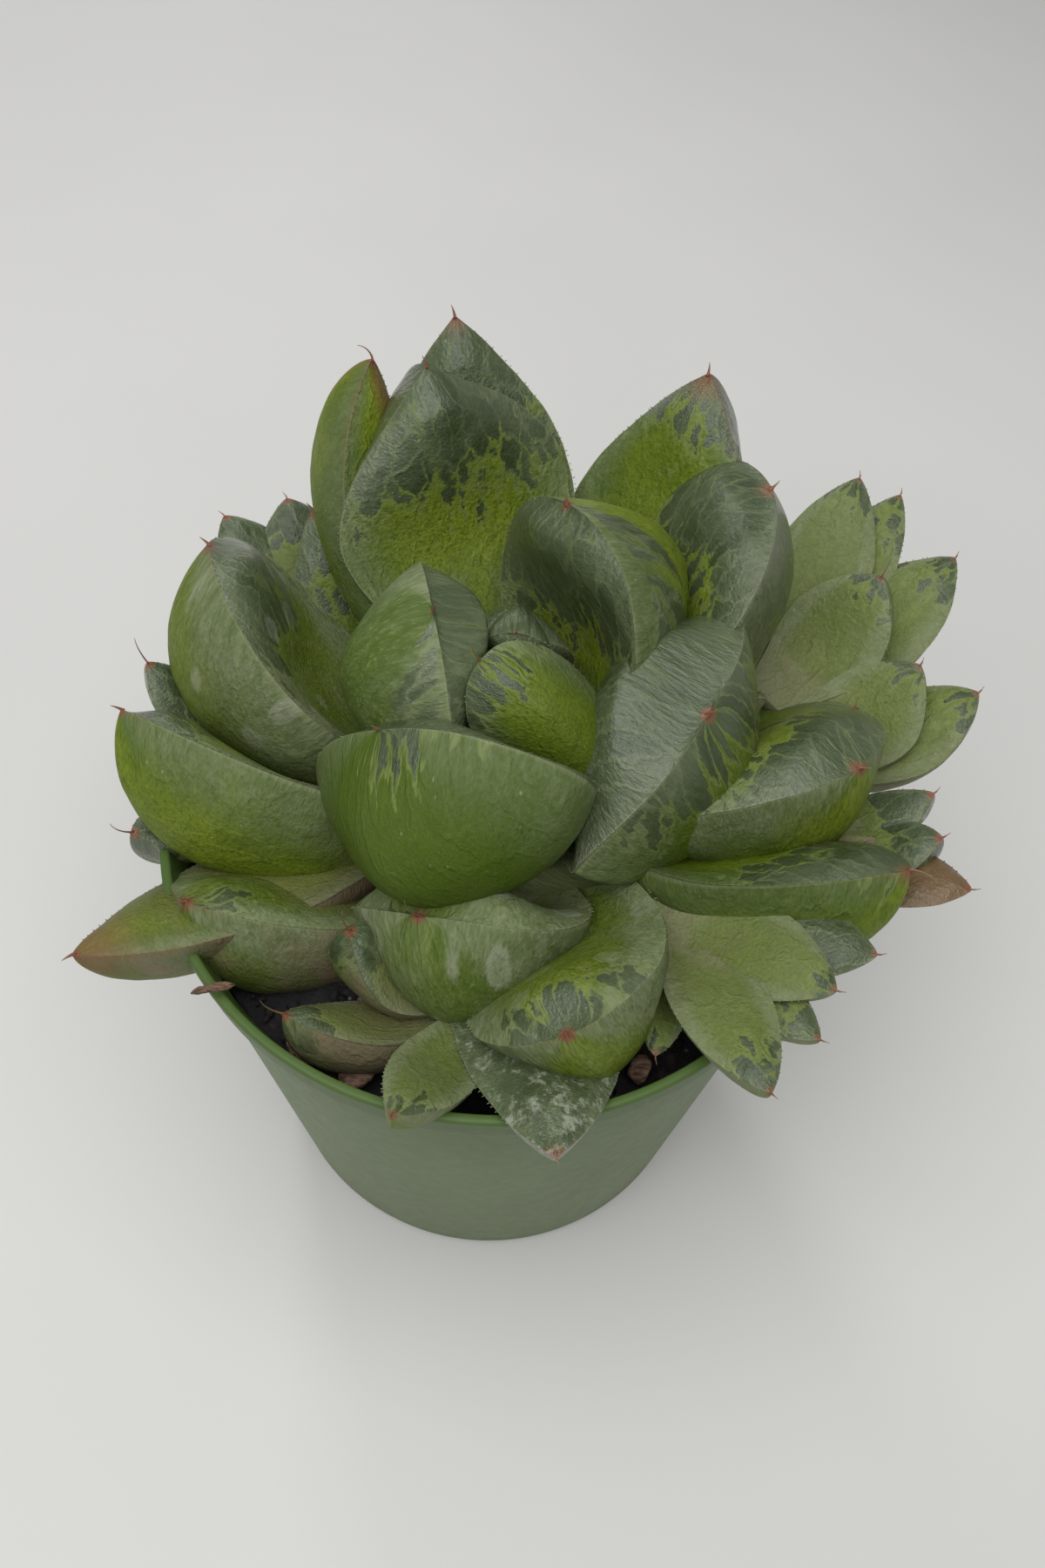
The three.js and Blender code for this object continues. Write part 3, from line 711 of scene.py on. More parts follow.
@dataclass
class Leaf:
    """One fat keeled leaf: a shallow trough on top, a keeled belly and a short point.

    tip and root are [compass angle, distance from the axis, height] in the rosette.
    size is [width, depth]. belly is the compass angle that the keel faces, and face
    how far the upper face looks up. sag and side bow the leaf towards its keel and
    sideways, and lobe runs one shoulder on towards the tip. cup hollows the middle of the
    upper face, and dome swells it near the tip, both as shares of the width.
    """

    name: str
    tip: Triple
    size: tuple[float, float]
    belly: float
    root: Triple | None = None
    face: float = 0.75
    sag: float = 2.0
    side: float = 0.0
    lobe: float = 0.0
    cup: float = 0.05
    dome: float = 0.10
    blunt: float = 0.8
    base_width: float = 0.55
    look: Look = field(default_factory=Look)
    awn: Awn = field(default_factory=Awn)
    teeth: float = 0.20

    def settle(self, rosette: Rosette) -> None:
        """Works out the leaf's ends and directions in its rosette."""
        root = self.root or (self.tip[0], 1.5, 0.0)
        self.start = rosette.point(root)
        run = rosette.point(self.tip) - self.start
        self.length = run.length
        self.run = run.normalized()
        up = rosette.axis() * self.face - rosette.outward(self.belly)
        self.up = (up - self.run * up.dot(self.run)).normalized()
        self.across = self.run.cross(self.up)
        self.seed = 7.3 * (sum(ord(letter) for letter in self.name) % 23) + self.belly * 0.1
        self.sections: dict[float, Section] = {}

    def middle(self, t: float) -> Vector:
        """The leaf's middle line at a share t of its length."""
        bow = math.sin(math.pi * t)
        straight = self.start + self.run * (self.length * t)
        return straight - self.up * (self.sag * bow) + self.across * (self.side * bow)

    def heading(self, t: float) -> Vector:
        """The direction of the middle line at t."""
        return (self.middle(min(1.0, t + STEP)) - self.middle(max(0.0, t - STEP))).normalized()

    def width_share(self, t: float) -> float:
        """Half the width at t, as a share of the widest."""
        if t < WIDEST:
            return self.base_width + (1.0 - self.base_width) * smooth(0.0, WIDEST, t)
        return (1.0 - ((t - WIDEST) / (1.0 - WIDEST)) ** 1.9) ** self.blunt

    @staticmethod
    def depth_share(t: float) -> float:
        """The distance from face to keel at t, as a share of the deepest."""
        if t < DEEPEST:
            return BASE_DEPTH + (1.0 - BASE_DEPTH) * smooth(0.0, DEEPEST, t)
        return (1.0 - ((t - DEEPEST) / (1.0 - DEEPEST)) ** 2.2) ** 0.62

    def section(self, t: float) -> Section:
        """The cross-section at t, which is kept for the next vertex there."""
        key = round(t, 6)
        if key not in self.sections:
            along = self.heading(t)
            normal = (self.up - along * self.up.dot(along)).normalized()
            width, depth = self.size
            broad = self.width_share(t)
            swell = self.dome * smooth(0.35, 0.78, t) * (1.0 - smooth(0.88, 1.0, t))
            hollow = self.cup * math.sin(math.pi * min(1.0, t / 0.85)) * (1.0 - smooth(0.7, 0.95, t))
            self.sections[key] = Section(
                middle=self.middle(t), along=along, normal=normal, lateral=along.cross(normal),
                broad=broad, half_width=0.5 * width * broad, keel_depth=depth * self.depth_share(t),
                crown=width * (swell - hollow), keel=smooth(0.15, 0.8, t),
            )
        return self.sections[key]

    def surface(self, t: float, a: float) -> Vector:
        """The point of the skin at a share t of the length and an angle a round the section."""
        s = self.section(t)
        x = math.cos(a)
        reach = min(1.0, abs(x))
        if math.sin(a) > -NEARLY_ZERO:
            height = s.crown * (1.0 - x * x)
        else:
            rounded = math.sqrt(1.0 - reach * reach)
            sharp = (1.0 - reach ** 1.6) ** 0.85
            height = -s.keel_depth * ((1.0 - s.keel) * rounded + s.keel * sharp)
        point = s.middle + s.lateral * (s.half_width * x) + s.normal * height
        if self.lobe * x > 0.0:
            point += s.along * (abs(self.lobe) * x * x * s.broad * smooth(0.3, 0.85, t))
        return point

    def build(self, bm: bmesh.types.BMesh, rosette: Rosette, detail: Detail) -> None:
        """Adds the leaf, its marginal teeth and its awn to a mesh.

        Args:
            bm: the mesh, in millimetres.
            rosette: the rosette that the leaf belongs to.
            detail: how finely it is modelled.
        """
        self.settle(rosette)
        sides, rings = detail.value
        made = bmesh.ops.create_uvsphere(bm, u_segments=sides, v_segments=rings, radius=1.0)
        for vert in made["verts"]:
            t = min(1.0, max(0.0, 0.5 + 0.5 * vert.co.z))
            a = math.atan2(vert.co.y, vert.co.x)
            if t < 1e-5:
                vert.co = self.middle(0.0) - self.up * (0.3 * self.size[1])
            elif t > 1.0 - 1e-5:
                vert.co = self.middle(1.0) + self.heading(1.0) * 0.5
            else:
                point = self.surface(t, a)
                swell = 0.35 * noise.noise(point * 0.16 + Vector((self.seed, 0.0, 0.0)))
                swell += 0.1 * noise.noise(point * 0.55 + Vector((0.0, self.seed, 0.0)))
                swell *= (1.0 - smooth(0.9, 1.0, t)) * min(1.0, self.size[0] / BROAD_LEAF)
                vert.co = point + (point - self.section(t).middle).normalized() * swell
            self.mark(bm, vert, t, a)
        self.add_teeth(bm)
        self.add_awn(bm)

    def mark(self, bm: bmesh.types.BMesh, vert: bmesh.types.BMVert, t: float, a: float,
             blush: float | None = None) -> None:
        """Writes the values that the skin's material reads onto one vertex.

        Args:
            bm: the mesh.
            vert: the vertex.
            t: its share of the leaf's length.
            a: its angle round the section.
            blush: the blush to write in place of the leaf's own.
        """
        x = math.cos(a)
        under = 0.0 if math.sin(a) > -NEARLY_ZERO else 1.0
        width, depth = self.size
        before_tip = min(t, 0.999)
        wide = 0.5 * width * self.width_share(before_tip)
        if under:
            wide = math.hypot(wide, depth * self.depth_share(before_tip))
        to_tip = (vert.co - self.middle(1.0)).length
        layers = bm.verts.layers
        vert[layers.float_color["place"]] = (t, x, under, to_tip)
        vert[layers.float_vector["skin"]] = (x * wide + self.seed, self.length * t, 9.0 * under + self.seed)
        spread = x * (0.7 * wide + 0.15 * width)
        vert[layers.float_vector["net"]] = (spread / NET_CELL[0], self.length * t / NET_CELL[1],
                                            5.0 * under + self.seed)
        k = self.look
        window = k.under if under else k.window
        vert[layers.float_color["traits"]] = (window, k.patch, k.wax, blush or k.blush)
        vert[layers.float_color["marks"]] = (k.pink, k.crust, k.spots, k.skew)
        vert[layers.float_color["slots"]] = (k.slot * under, k.slot_at, k.slot_wide, k.lean)

    def add_teeth(self, bm: bmesh.types.BMesh) -> None:
        """Adds the tiny pale teeth along both margins."""
        chance = random.Random(int(self.seed * 10.0))
        count = int(self.length * TEETH_PER_MM)
        for a, side in ((0.0, 1.0), (math.pi, -1.0)):
            for i in range(count):
                t = 0.40 + 0.57 * (i + chance.uniform(0.1, 0.9)) / count
                s = self.section(t)
                direction = (s.lateral * side + s.along * chance.uniform(0.2, 0.7)).normalized()
                length = self.teeth * chance.uniform(0.7, 1.5)
                place = Matrix.Translation(self.surface(t, a) + direction * (length * 0.3))
                made = bmesh.ops.create_cone(bm, cap_ends=True, segments=5, radius1=TOOTH_RADIUS,
                                             radius2=TOOTH_POINT, depth=length,
                                             matrix=place @ turn_to(direction))
                for vert in made["verts"]:
                    self.mark(bm, vert, t, a)

    def add_awn(self, bm: bmesh.types.BMesh) -> None:
        """Adds the bristle at the tip, which thins and hooks over."""
        awn = self.awn
        verts = add_tube(bm, awn.radius, AWN_POINT, awn.length, 8, 10)
        base = self.middle(1.0) - self.heading(1.0) * 0.35
        frame = turn_to(self.heading(1.0)) @ Matrix.Rotation(math.radians(awn.turn), 4, "Z")
        bend = math.radians(awn.hook)
        arc = awn.length / bend
        for vert in verts:
            turned = bend * (0.5 + vert.co.z / awn.length)
            centre = Vector((arc * (1.0 - math.cos(turned)), 0.0, arc * math.sin(turned)))
            aside = Vector((vert.co.x * math.cos(turned), vert.co.y, -vert.co.x * math.sin(turned)))
            vert.co = base + frame @ (centre + aside)
            self.mark(bm, vert, 1.0, 0.0, blush=AWN_BLUSH)


def leaf_mesh() -> bmesh.types.BMesh:
    """An empty mesh with the layers that the leaf skin reads."""
    bm = bmesh.new()
    for name in ("place", "traits", "marks", "slots"):
        bm.verts.layers.float_color.new(name)
    for name in ("skin", "net"):
        bm.verts.layers.float_vector.new(name)
    return bm


def main_leaves() -> list[Leaf]:
    """The main plant's leaves, from the bud outwards."""

    def leaf(number: int, tip: Triple, size: tuple[float, float], belly: float, **more) -> Leaf:
        """One of the leaves, by its number."""
        return Leaf(f"main_leaf_{number:02d}", tip, size, belly, **more)

    return [
        leaf(1, (88, 3.5, 30), (8, 5), 88, root=(88, 2, 20), sag=0.5, base_width=0.8, dome=0.2, blunt=0.5,
             look=Look(0.5, 0.5, 0.3, 0.3, 0.3), awn=Awn(0.6, 0.12, 10)),
        leaf(2, (200, 3.5, 33), (14, 7), 325, root=(330, 13, 8), face=0.0, sag=1, blunt=0.4, base_width=0.9,
             look=Look(0.2, 0.16, 0.6, 0.3, 0.3), awn=Awn(3.2, 0.13, 25, 90)),
        leaf(3, (75.5, 18.8, 31.5), (27, 16), 5, root=(345, 4.5, 11), face=0.85, sag=0.5, side=0, cup=0.12,
             dome=0.1, blunt=0.42,
             look=Look(0.62, 0.02, 0.95, 0.25, 0.6, slot=0.75, slot_at=0.7, slot_wide=0.16)),
        leaf(4, (152, 9.6, 32), (26, 11), 204, root=(215, 4, 10), face=0.5, sag=1.5, side=0.5, dome=0.22,
             blunt=0.35, look=Look(0.4, 0.03, 0.05, 1.15, 0.3, slot=0.9, slot_at=-0.74, slot_wide=0.17)),
        leaf(5, (214, 15.5, 31.5), (33, 14), 266, root=(264, 7, 11), face=0.1, sag=2.5, side=-2, lobe=2,
             dome=0.1, blunt=0.5, base_width=0.4, look=Look(0.4, 0.03, 0.12, 0.15, 0.3, skew=-0.15)),
        leaf(6, (350.5, 20.8, 28), (37, 16), 342, root=(262, 13, 1), face=0.25, sag=0, side=-6, lobe=-3,
             dome=0.24, blunt=0.45, look=Look(0.6, 0.24, 0.4, 0.35, 0.9)),
        leaf(7, (108, 38, 29), (30, 13), 125, root=(105, 6, 8), sag=5, side=1.5, lobe=2, dome=0.12,
             blunt=1.15, look=Look(0.5, 0.45, 0.95, 0.25, 0.4)),
        leaf(8, (42, 37, 26), (31, 17), 8, root=(24, 6, 7), face=0.5, sag=-1, side=-3, cup=0.12, blunt=0.5,
             look=Look(0.48, 0.45, 1.0, 0.35, 1.6)),
        leaf(9, (156, 38, 23), (27, 16), 224, root=(195, 8, 4), face=0.7, sag=1, lobe=5, cup=0.12,
             look=Look(0.48, 0.04, 0.8, 0.75, 1.4, spots=0.5)),
        leaf(10, (252, 26.5, 22.5), (27, 12), 268, root=(258, 11, 3), face=0.0, sag=4, side=-2, dome=0.2,
             blunt=0.34, base_width=0.4, look=Look(0.02, -0.2, 0.2, 1.6, 1.0, spots=0.6),
             awn=Awn(5.0, 0.14, 35, 90)),
        leaf(11, (350, 38, 23), (30, 14), 318, root=(330, 7, 4), face=0.3, sag=0, side=-5, lobe=-1,
             dome=0.14, blunt=0.55, look=Look(0.4, 0.03, 1.0, 0.42, 1.2)),
        leaf(12, (101.5, 47, 25), (24, 12), 101, root=(95, 5, 5), sag=5, blunt=1.0,
             look=Look(0.42, 0.4, 0.8, 0.2, 2.2)),
        leaf(13, (63, 45, 25), (25, 12), 35, root=(68, 5, 5), sag=5, blunt=0.95,
             look=Look(0.25, 0.25, 0.7, 0.2, 3.2)),
        leaf(14, (186, 42, 22), (22, 12), 262, root=(215, 8, 2), face=0.3, sag=3.5, lobe=2,
             look=Look(0.3, -0.05, 0.9, 0.26, 1.2)),
        leaf(15, (338, 46, 22), (24, 12), 290, root=(315, 6, 2), face=0.4, sag=3, side=-2, lobe=-2,
             look=Look(0.4, 0.08, 0.8, 0.06, 1.6), awn=Awn(4.2, 0.2, 45, 180)),
        leaf(16, (115, 43.5, 25), (14, 10), 165, root=(128, 8, 6), face=0.5, sag=5,
             look=Look(0.02, -0.2, 1.0, 0.15, 9.0, lean=0.8), awn=Awn(2.8, 0.15, 90)),
        leaf(17, (281, 38, 28), (24, 12), 300, root=(288, 13, 3), face=0.2, sag=2, lobe=-4, dome=0.14,
             blunt=0.6, look=Look(0.26, 0.08, 0.8, 0.75, 0.9, spots=0.3)),
        leaf(18, (216, 41, 18), (22, 12), 262, root=(235, 8, 0), face=0.6, sag=4, lobe=6,
             look=Look(0.12, -0.05, 0.4, 0.7, 1.4, pink=1.3)),
        leaf(19, (215, 53.4, 19), (15, 9), 258, root=(222, 6, 3), face=0.9, sag=1,
             look=Look(0.02, -0.1, 0.6, 0.4, 7.0, pink=1.4)),
        leaf(20, (278, 49, 27), (19, 6), 275, root=(283, 7, -1), face=1.2, sag=3,
             look=Look(0.6, 0.5, 0.4, 0.4, 1.2, crust=0.9)),
        leaf(21, (92, 4.5, 26), (14, 6), 95, root=(95, 3, 12), sag=1, dome=0.2, blunt=0.5,
             look=Look(0.6, 0.6, 0.3, 0.3, 0.3), awn=Awn(0.6, 0.12, 10)),
        leaf(22, (84, 35, 8), (18, 9), 84, root=(84, 6, 0), sag=3, look=Look(0.4, 0.3, 0.6, 0.25, 1.4)),
        leaf(23, (133, 38, 10), (21, 10), 133, root=(133, 6, 0), sag=3,
             look=Look(0.42, 0.3, 0.6, 0.25, 1.4)),
    ]


@dataclass
class MainPlant:
    """The big rosette, which leans towards the viewer, and its hidden stem."""

    rosette: Rosette = Rosette((1.0, 12.0, 56.0), 18.0)
    stem_radius: float = 5.5
    stem_height: float = 10.0
    leaves: list[Leaf] = field(default_factory=main_leaves)

    def build(self, skin: bpy.types.Material, stem_finish: bpy.types.Material) -> None:
        """Builds the stem and every leaf.

        Args:
            skin: the leaves' finish.
            stem_finish: the stem's finish.
        """
        for leaf in self.leaves:
            bm = leaf_mesh()
            leaf.build(bm, self.rosette, Detail.LARGE)
            piece_from(bm, "leaf_" + leaf.name[-2:], skin, (leaf.name,))
        self.build_stem(stem_finish)

    def build_stem(self, finish: bpy.types.Material) -> None:
        """Builds the knobbly stem, which stands in the soil and leans with the rosette."""
        bm = bmesh.new()
        head = self.rosette.point((0.0, 0.0, self.stem_height))
        foot = Vector((self.rosette.centre[0], self.rosette.centre[1], STEM_FOOT))
        for vert in add_tube(bm, self.stem_radius, self.stem_radius, 1.0, 40, 25):
            share = vert.co.z + 0.5
            scars = 0.25 * math.sin(share * 40.0) + 0.3 * noise.noise(vert.co * 0.8)
            flat = Vector((vert.co.x, vert.co.y, 0.0)) * (1.0 - 0.03 * abs(scars) - 0.02)
            vert.co = foot.lerp(head, share) + flat
        piece_from(bm, "plant_stem", finish, ("main_stem",))


@dataclass
class Offset:
    """A small side rosette on a stalk of its own."""

    name: str
    centre: Triple
    foot: tuple[float, float]
    stalk: float
    leaves: list[Leaf]

    def build(self, skin: bpy.types.Material) -> None:
        """Builds the rosette's leaves and its stalk as one piece."""
        bm = leaf_mesh()
        rosette = Rosette(self.centre)
        for leaf in self.leaves:
            leaf.build(bm, rosette, Detail.SMALL)
        self.add_stalk(bm)
        piece_from(bm, self.name.replace("offset", "pup"), skin, (self.name,))

    def add_stalk(self, bm: bmesh.types.BMesh) -> None:
        """Adds the stalk: upright in the soil, then bent out to the leaves."""
        x, y = self.foot
        bend = Vector((x, y, SOIL_TOP + 1.0))
        head = Vector(self.centre) + Vector((0.0, 0.0, 1.0))
        foot = Vector((x, y, STEM_FOOT))
        verts = add_tube(bm, self.stalk, self.stalk, 1.0, 24, 16)
        root = self.leaves[0]
        for vert in verts:
            share = vert.co.z + 0.5
            flat = Vector((vert.co.x, vert.co.y, 0.0)) * 0.97
            low = foot.lerp(bend, min(1.0, 2.0 * share))
            high = bend.lerp(head, max(0.0, 2.0 * share - 1.0))
            thin = 1.0 - 0.6 * smooth(0.6, 0.95, share)
            vert.co = (low if share < 0.5 else high) + flat * thin
            root.mark(bm, vert, 0.02, math.atan2(flat.y, flat.x))


def pup(name: str, centre: Triple, foot: tuple[float, float], stalk: float, look: Look,
        rows: list[tuple]) -> Offset:
    """Makes a side rosette from short rows.

    Args:
        name: the solid that it stands for.
        centre: the middle of the rosette.
        foot: where its stalk leaves the soil.
        stalk: the stalk's radius.
        look: the skin that its leaves share.
        rows: (tip, size, belly, further fields of the leaf) for each leaf.

    Returns:
        The side rosette.
    """
    leaves = []
    for i, (tip, size, belly, more) in enumerate(rows):
        fields = {"look": look, "awn": Awn(1.3, 0.10, 30), "teeth": 0.12, **more}
        leaves.append(Leaf(f"{name}_{i}", tip, size, belly, **fields))
    return Offset(name, centre, foot, stalk, leaves)


PALE = Look(0.26, 0.14, 0.6, 0.55, 0.5, pink=0.85)
NETTED = Look(0.46, 0.3, 0.5, 0.35, 0.8, pink=0.6)
DRIED = Look(0.8, 0.8, 0.2, 0.1, 14.0, pink=1.0)


def side_rosettes() -> list[Offset]:
    """The seven side rosettes, front ones first."""
    hooked = Awn(4.0, 0.12, 50, 90)
    return [
        pup("offset_front_left", (1, -20, 56), (2, -17), 2.6, replace(NETTED, pink=1.3), [
            ((176, 15.5, 10), (11, 7), 176, {"face": 0.4, "awn": hooked}),
            ((198, 22.7, 6), (10, 6), 235, {"look": replace(NETTED, window=0.25, pink=1.5), "awn": hooked}),
            ((246, 21.8, 12), (9, 5), 246, {"sag": 1, "look": replace(PALE, wax=0.7, pink=0.2)}),
        ]),
        pup("offset_front_right", (20, -16, 60.5), (18, -14), 2.6, PALE, [
            ((335, 17.5, 6.5), (11, 6), 335, {"sag": -1, "root": (120, 5, 1)}),
            ((292, 21.5, 8.5), (10, 6), 292, {"sag": -0.5, "root": (100, 5, 1)}),
            ((319, 18.7, 5), (8, 5), 319, {"sag": -0.5, "root": (110, 3, 0)}),
            ((352, 20.7, 6.5), (11, 6), 352,
             {"sag": -0.5, "root": (130, 5, 1), "look": replace(PALE, window=0.5)}),
            ((261, 12.8, 0), (5, 4), 261, {"sag": -0.5}),
        ]),
        pup("offset_right_back", (30, 16, 65), (24, 13), 3.0, replace(PALE, wax=0.85), [
            ((40, 18, 11), (14, 9), 40, {"face": 0.3, "awn": Awn(3.0, 0.1, 40, 90)}),
            ((38.5, 31.7, 7), (14, 8), 38, {}),
            ((66, 31.7, 11), (13, 7), 66, {}),
            ((57, 34, 9), (11, 7), 57, {}),
            ((90, 24, 6), (12, 7), 90, {}),
        ]),
        pup("offset_right_middle", (33, 6, 65), (26, 5), 2.6, PALE, [
            ((37, 19, 7), (13, 9), 37, {}),
            ((23, 24.2, 5), (12, 7), 23, {}),
            ((39, 9.6, 5), (6, 4), 39, {}),
        ]),
        pup("offset_right_low", (32, -3, 64), (26, -3), 2.4, NETTED, [
            ((16, 17.5, 4), (7, 5), 16, {}),
            ((356, 17, 4), (9, 5), 356, {}),
            ((342, 21, 2), (9, 3), 342, {"sag": 0.5, "look": DRIED}),
        ]),
        pup("offset_back_left", (-22, 25, 63), (-18, 21), 2.8, NETTED, [
            ((136, 21.6, 5), (11, 6), 136, {}),
            ((113, 20.6, 5), (12, 7), 113, {}),
            ((160, 17, 6), (10, 6), 160, {}),
            ((90, 18, 7), (11, 7), 90, {}),
        ]),
        pup("offset_left", (-25, 4, 61), (-22, 4), 2.6, NETTED, [
            ((152, 18.6, 9), (8, 5), 152, {"awn": hooked}),
            ((217, 18.8, 3.5), (9, 6), 217, {"awn": hooked}),
            ((185, 15, 6), (8, 5), 185, {}),
        ]),
    ]


# ------------------------------------------------------------------------ pot


@dataclass
class NurseryPot:
    """The thin tapered pot, with a collar under its rim and holes in its floor."""

    height: float = 62.5
    rim_radius: float = 38.0
    collar_radius: float = 37.4
    collar_height: float = 4.7
    shoulder_radius: float = 36.6
    base_radius: float = 28.5
    foot_height: float = 2.0
    foot_step: float = 0.5
    wall: float = 1.1
    lip_height: float = 1.2
    floor: float = 1.6
    drain_radius: float = 3.0
    drain_circle: float = 19.0
    drain_count: int = 5
    turns: int = 180

    def inner_radius(self, z: float) -> float:
        """The radius of the pot's inner wall at a height."""
        share = (z - self.foot_height) / (self.height - self.collar_height - self.foot_height)
        return self.base_radius + self.foot_step - self.wall + (
            self.shoulder_radius - self.base_radius - self.foot_step) * share

    def outline(self) -> list[tuple[float, float]]:
        """The wall's outline as (radius, height), from the underside's middle to the floor's."""
        base, shoulder, foot = self.base_radius, self.shoulder_radius, self.foot_height
        collar, rim, top = self.collar_radius, self.rim_radius, self.height
        low, lip = top - self.collar_height, top - self.lip_height
        return [
            (0.0, 0.0), (base - 0.5, 0.0), (base - 0.15, 0.12), (base, 0.45), (base + 0.05, foot - 0.2),
            (base + 0.2, foot), (base + self.foot_step, foot + 0.15), (shoulder - 0.05, low - 0.4),
            (shoulder, low), (shoulder + 0.35, low + 0.12), (collar, low + 0.3), (collar + 0.05, low + 0.7),
            (collar + 0.2, lip - 0.1), (rim - 0.1, lip + 0.1), (rim, lip + 0.3), (rim, top - 0.35),
            (rim - 0.12, top - 0.1), (rim - 0.35, top), (rim - 0.85, top), (rim - 1.05, top - 0.12),
            (rim - 1.15, top - 0.4), (self.inner_radius(low) + 0.35, low + 0.5),
            (self.inner_radius(low), low - 0.4), (self.inner_radius(self.floor), self.floor),
            (0.0, self.floor),
        ]

    def build(self, finish: bpy.types.Material) -> None:
        """Turns the outline round the pot's axis and cuts the drain holes."""
        self.cut_drains(piece_from(spun(self.outline(), self.turns), "nursery_pot", finish, ("pot",)))

    def cut_drains(self, pot: bpy.types.Object) -> None:
        """Cuts the round drain holes through the pot's floor."""
        bm = bmesh.new()
        for i in range(self.drain_count):
            a = 2.0 * math.pi * (i + 0.5) / self.drain_count
            centre = self.drain_circle * Vector((math.cos(a), math.sin(a), 0.0))
            bmesh.ops.create_cone(bm, cap_ends=True, segments=40, radius1=self.drain_radius,
                                  radius2=self.drain_radius, depth=8.0,
                                  matrix=Matrix.Translation(centre))
        cutter = object_from(bm, "drain_cutter")
        cut = pot.modifiers.new("drains", "BOOLEAN")
        cut.operation = "DIFFERENCE"
        cut.solver = "EXACT"
        cut.object = cutter
        bpy.context.view_layer.update()
        evaluated = pot.evaluated_get(bpy.context.evaluated_depsgraph_get())
        pot.data = bpy.data.meshes.new_from_object(evaluated)
        pot.modifiers.clear()
        bpy.data.objects.remove(cutter)


@dataclass
class PottingSoil:
    """The soil: a lumpy top, and loose crumbs and grit on it."""

    pot: NurseryPot
    top: float = SOIL_TOP
    gap: float = 0.3
    turns: int = 150
    rings: int = 70
    crumbs: int = 620
    seed: int = 11

    def lump(self, x: float, y: float) -> float:
        """How far the soil stands above its mean level at a place."""
        big = noise.noise(Vector((0.13 * x, 0.13 * y, 3.0)))
        small = noise.noise(Vector((0.7 * x, 0.7 * y, 8.0)))
        return 0.75 * big + 0.3 * small

    def build(self, finish: bpy.types.Material) -> None:
        """Spins the soil's outline, roughens its top and scatters the crumbs."""
        outer = self.pot.inner_radius(self.top) - self.gap
        low = self.pot.floor + self.gap
        inner = self.pot.inner_radius(low) - self.gap
        outline = [(outer * i / self.rings, self.top) for i in range(self.rings + 1)]
        outline += [(outer, self.top - 1.0), (inner, low), (0.0, low)]
        bm = spun(outline, self.turns)
        for vert in bm.verts:
            if vert.co.z > self.top - 0.01:
                radius = math.hypot(vert.co.x, vert.co.y)
                dip = 0.5 * smooth(0.86 * outer, outer, radius)
                vert.co.z += self.lump(vert.co.x, vert.co.y) - dip
        self.scatter(bm, outer)
        piece_from(bm, "potting_soil", finish, ("soil",))

    def scatter(self, bm: bmesh.types.BMesh, outer: float) -> None:
        """Adds loose crumbs that sit half sunk in the soil's top."""
        chance = random.Random(self.seed)
        for _ in range(self.crumbs):
            radius = (outer - 1.2) * math.sqrt(chance.random())
            a = chance.uniform(0.0, 2.0 * math.pi)
            x, y = radius * math.cos(a), radius * math.sin(a)
            size = chance.uniform(0.25, 0.75)
            angle = chance.uniform(0.0, 3.1)
            turn = Matrix.Rotation(angle, 4, Vector((chance.random(), chance.random(), 0.5)))
            long, thick = size * chance.uniform(0.8, 1.6), size * chance.uniform(0.5, 1.0)
            shape = Matrix.Diagonal((long, size, thick, 1.0))
            place = Matrix.Translation((x, y, self.top + self.lump(x, y) + 0.1)) @ turn @ shape
            bmesh.ops.create_icosphere(bm, subdivisions=1, radius=1.0, matrix=place)


@dataclass
class BarkChip:
    """A small chip of bark on the soil."""

    name: str
    place: tuple[float, float]
    size: Triple
    turn: float

    def build(self, finish: bpy.types.Material) -> None:
        """Builds the chip from a ball that is squashed, squared off and roughened."""
        bm = bmesh.new()
        bmesh.ops.create_icosphere(bm, subdivisions=4, radius=1.0)
        length, width, height = self.size
        shape = Matrix.Rotation(math.radians(self.turn), 3, "Z") @ Matrix.Diagonal((length, width, height))
        for vert in bm.verts:
            rough = 0.16 * noise.noise(vert.co * 1.7 + Vector((self.turn, 0, 0)))
            rough += 0.06 * noise.noise(Vector((vert.co.x * 1.5, vert.co.y * 9.0, vert.co.z * 9.0)))
            box = Vector([math.copysign(abs(part) ** 0.75, part) for part in vert.co])
            vert.co = shape @ box * (0.46 + rough / 2) + Vector((*self.place, SOIL_TOP + 1.15))
        piece_from(bm, self.name.replace("bark_chip", "bark_piece"), finish, (self.name,))


@dataclass
class DryLeaf:
    """A dried leaf shred that lies over the rim."""

    centre: Triple = (-27.8, -25.6, 63.6)
    length: float = 4.6
    width: float = 1.9
    thickness: float = 0.9
    turn: float = 200.0
    twist: float = 0.5

    def build(self, finish: bpy.types.Material) -> None:
        """Builds the shred from a flattened ball that is torn, twisted and creased."""
        bm = bmesh.new()
        bmesh.ops.create_uvsphere(bm, u_segments=48, v_segments=32, radius=1.0)
        spin = Matrix.Rotation(math.radians(self.turn), 3, "Z")
        for vert in bm.verts:
            torn = noise.noise(Vector((vert.co.x * 4.0, math.copysign(1.0, vert.co.y), 2.0)))
            crease = noise.noise(Vector((vert.co.x * 1.6, vert.co.y * 4.0, 5.0)))
            x = vert.co.x * self.length / 2
            y = vert.co.y * self.width / 2 * (0.55 + 0.45 * torn)
            z = vert.co.z * self.thickness / 2 * (0.8 + 0.3 * crease) + 0.25 * crease
            z += 0.16 * y * y - 0.035 * x * x + 0.4
            twist = Matrix.Rotation(self.twist * vert.co.x, 3, "X")
            vert.co = spin @ (twist @ Vector((x, y, z))) + Vector(self.centre)
        piece_from(bm, "dry_shred", finish, ("dry_leaf",))


# --------------------------------------------------------------------- studio


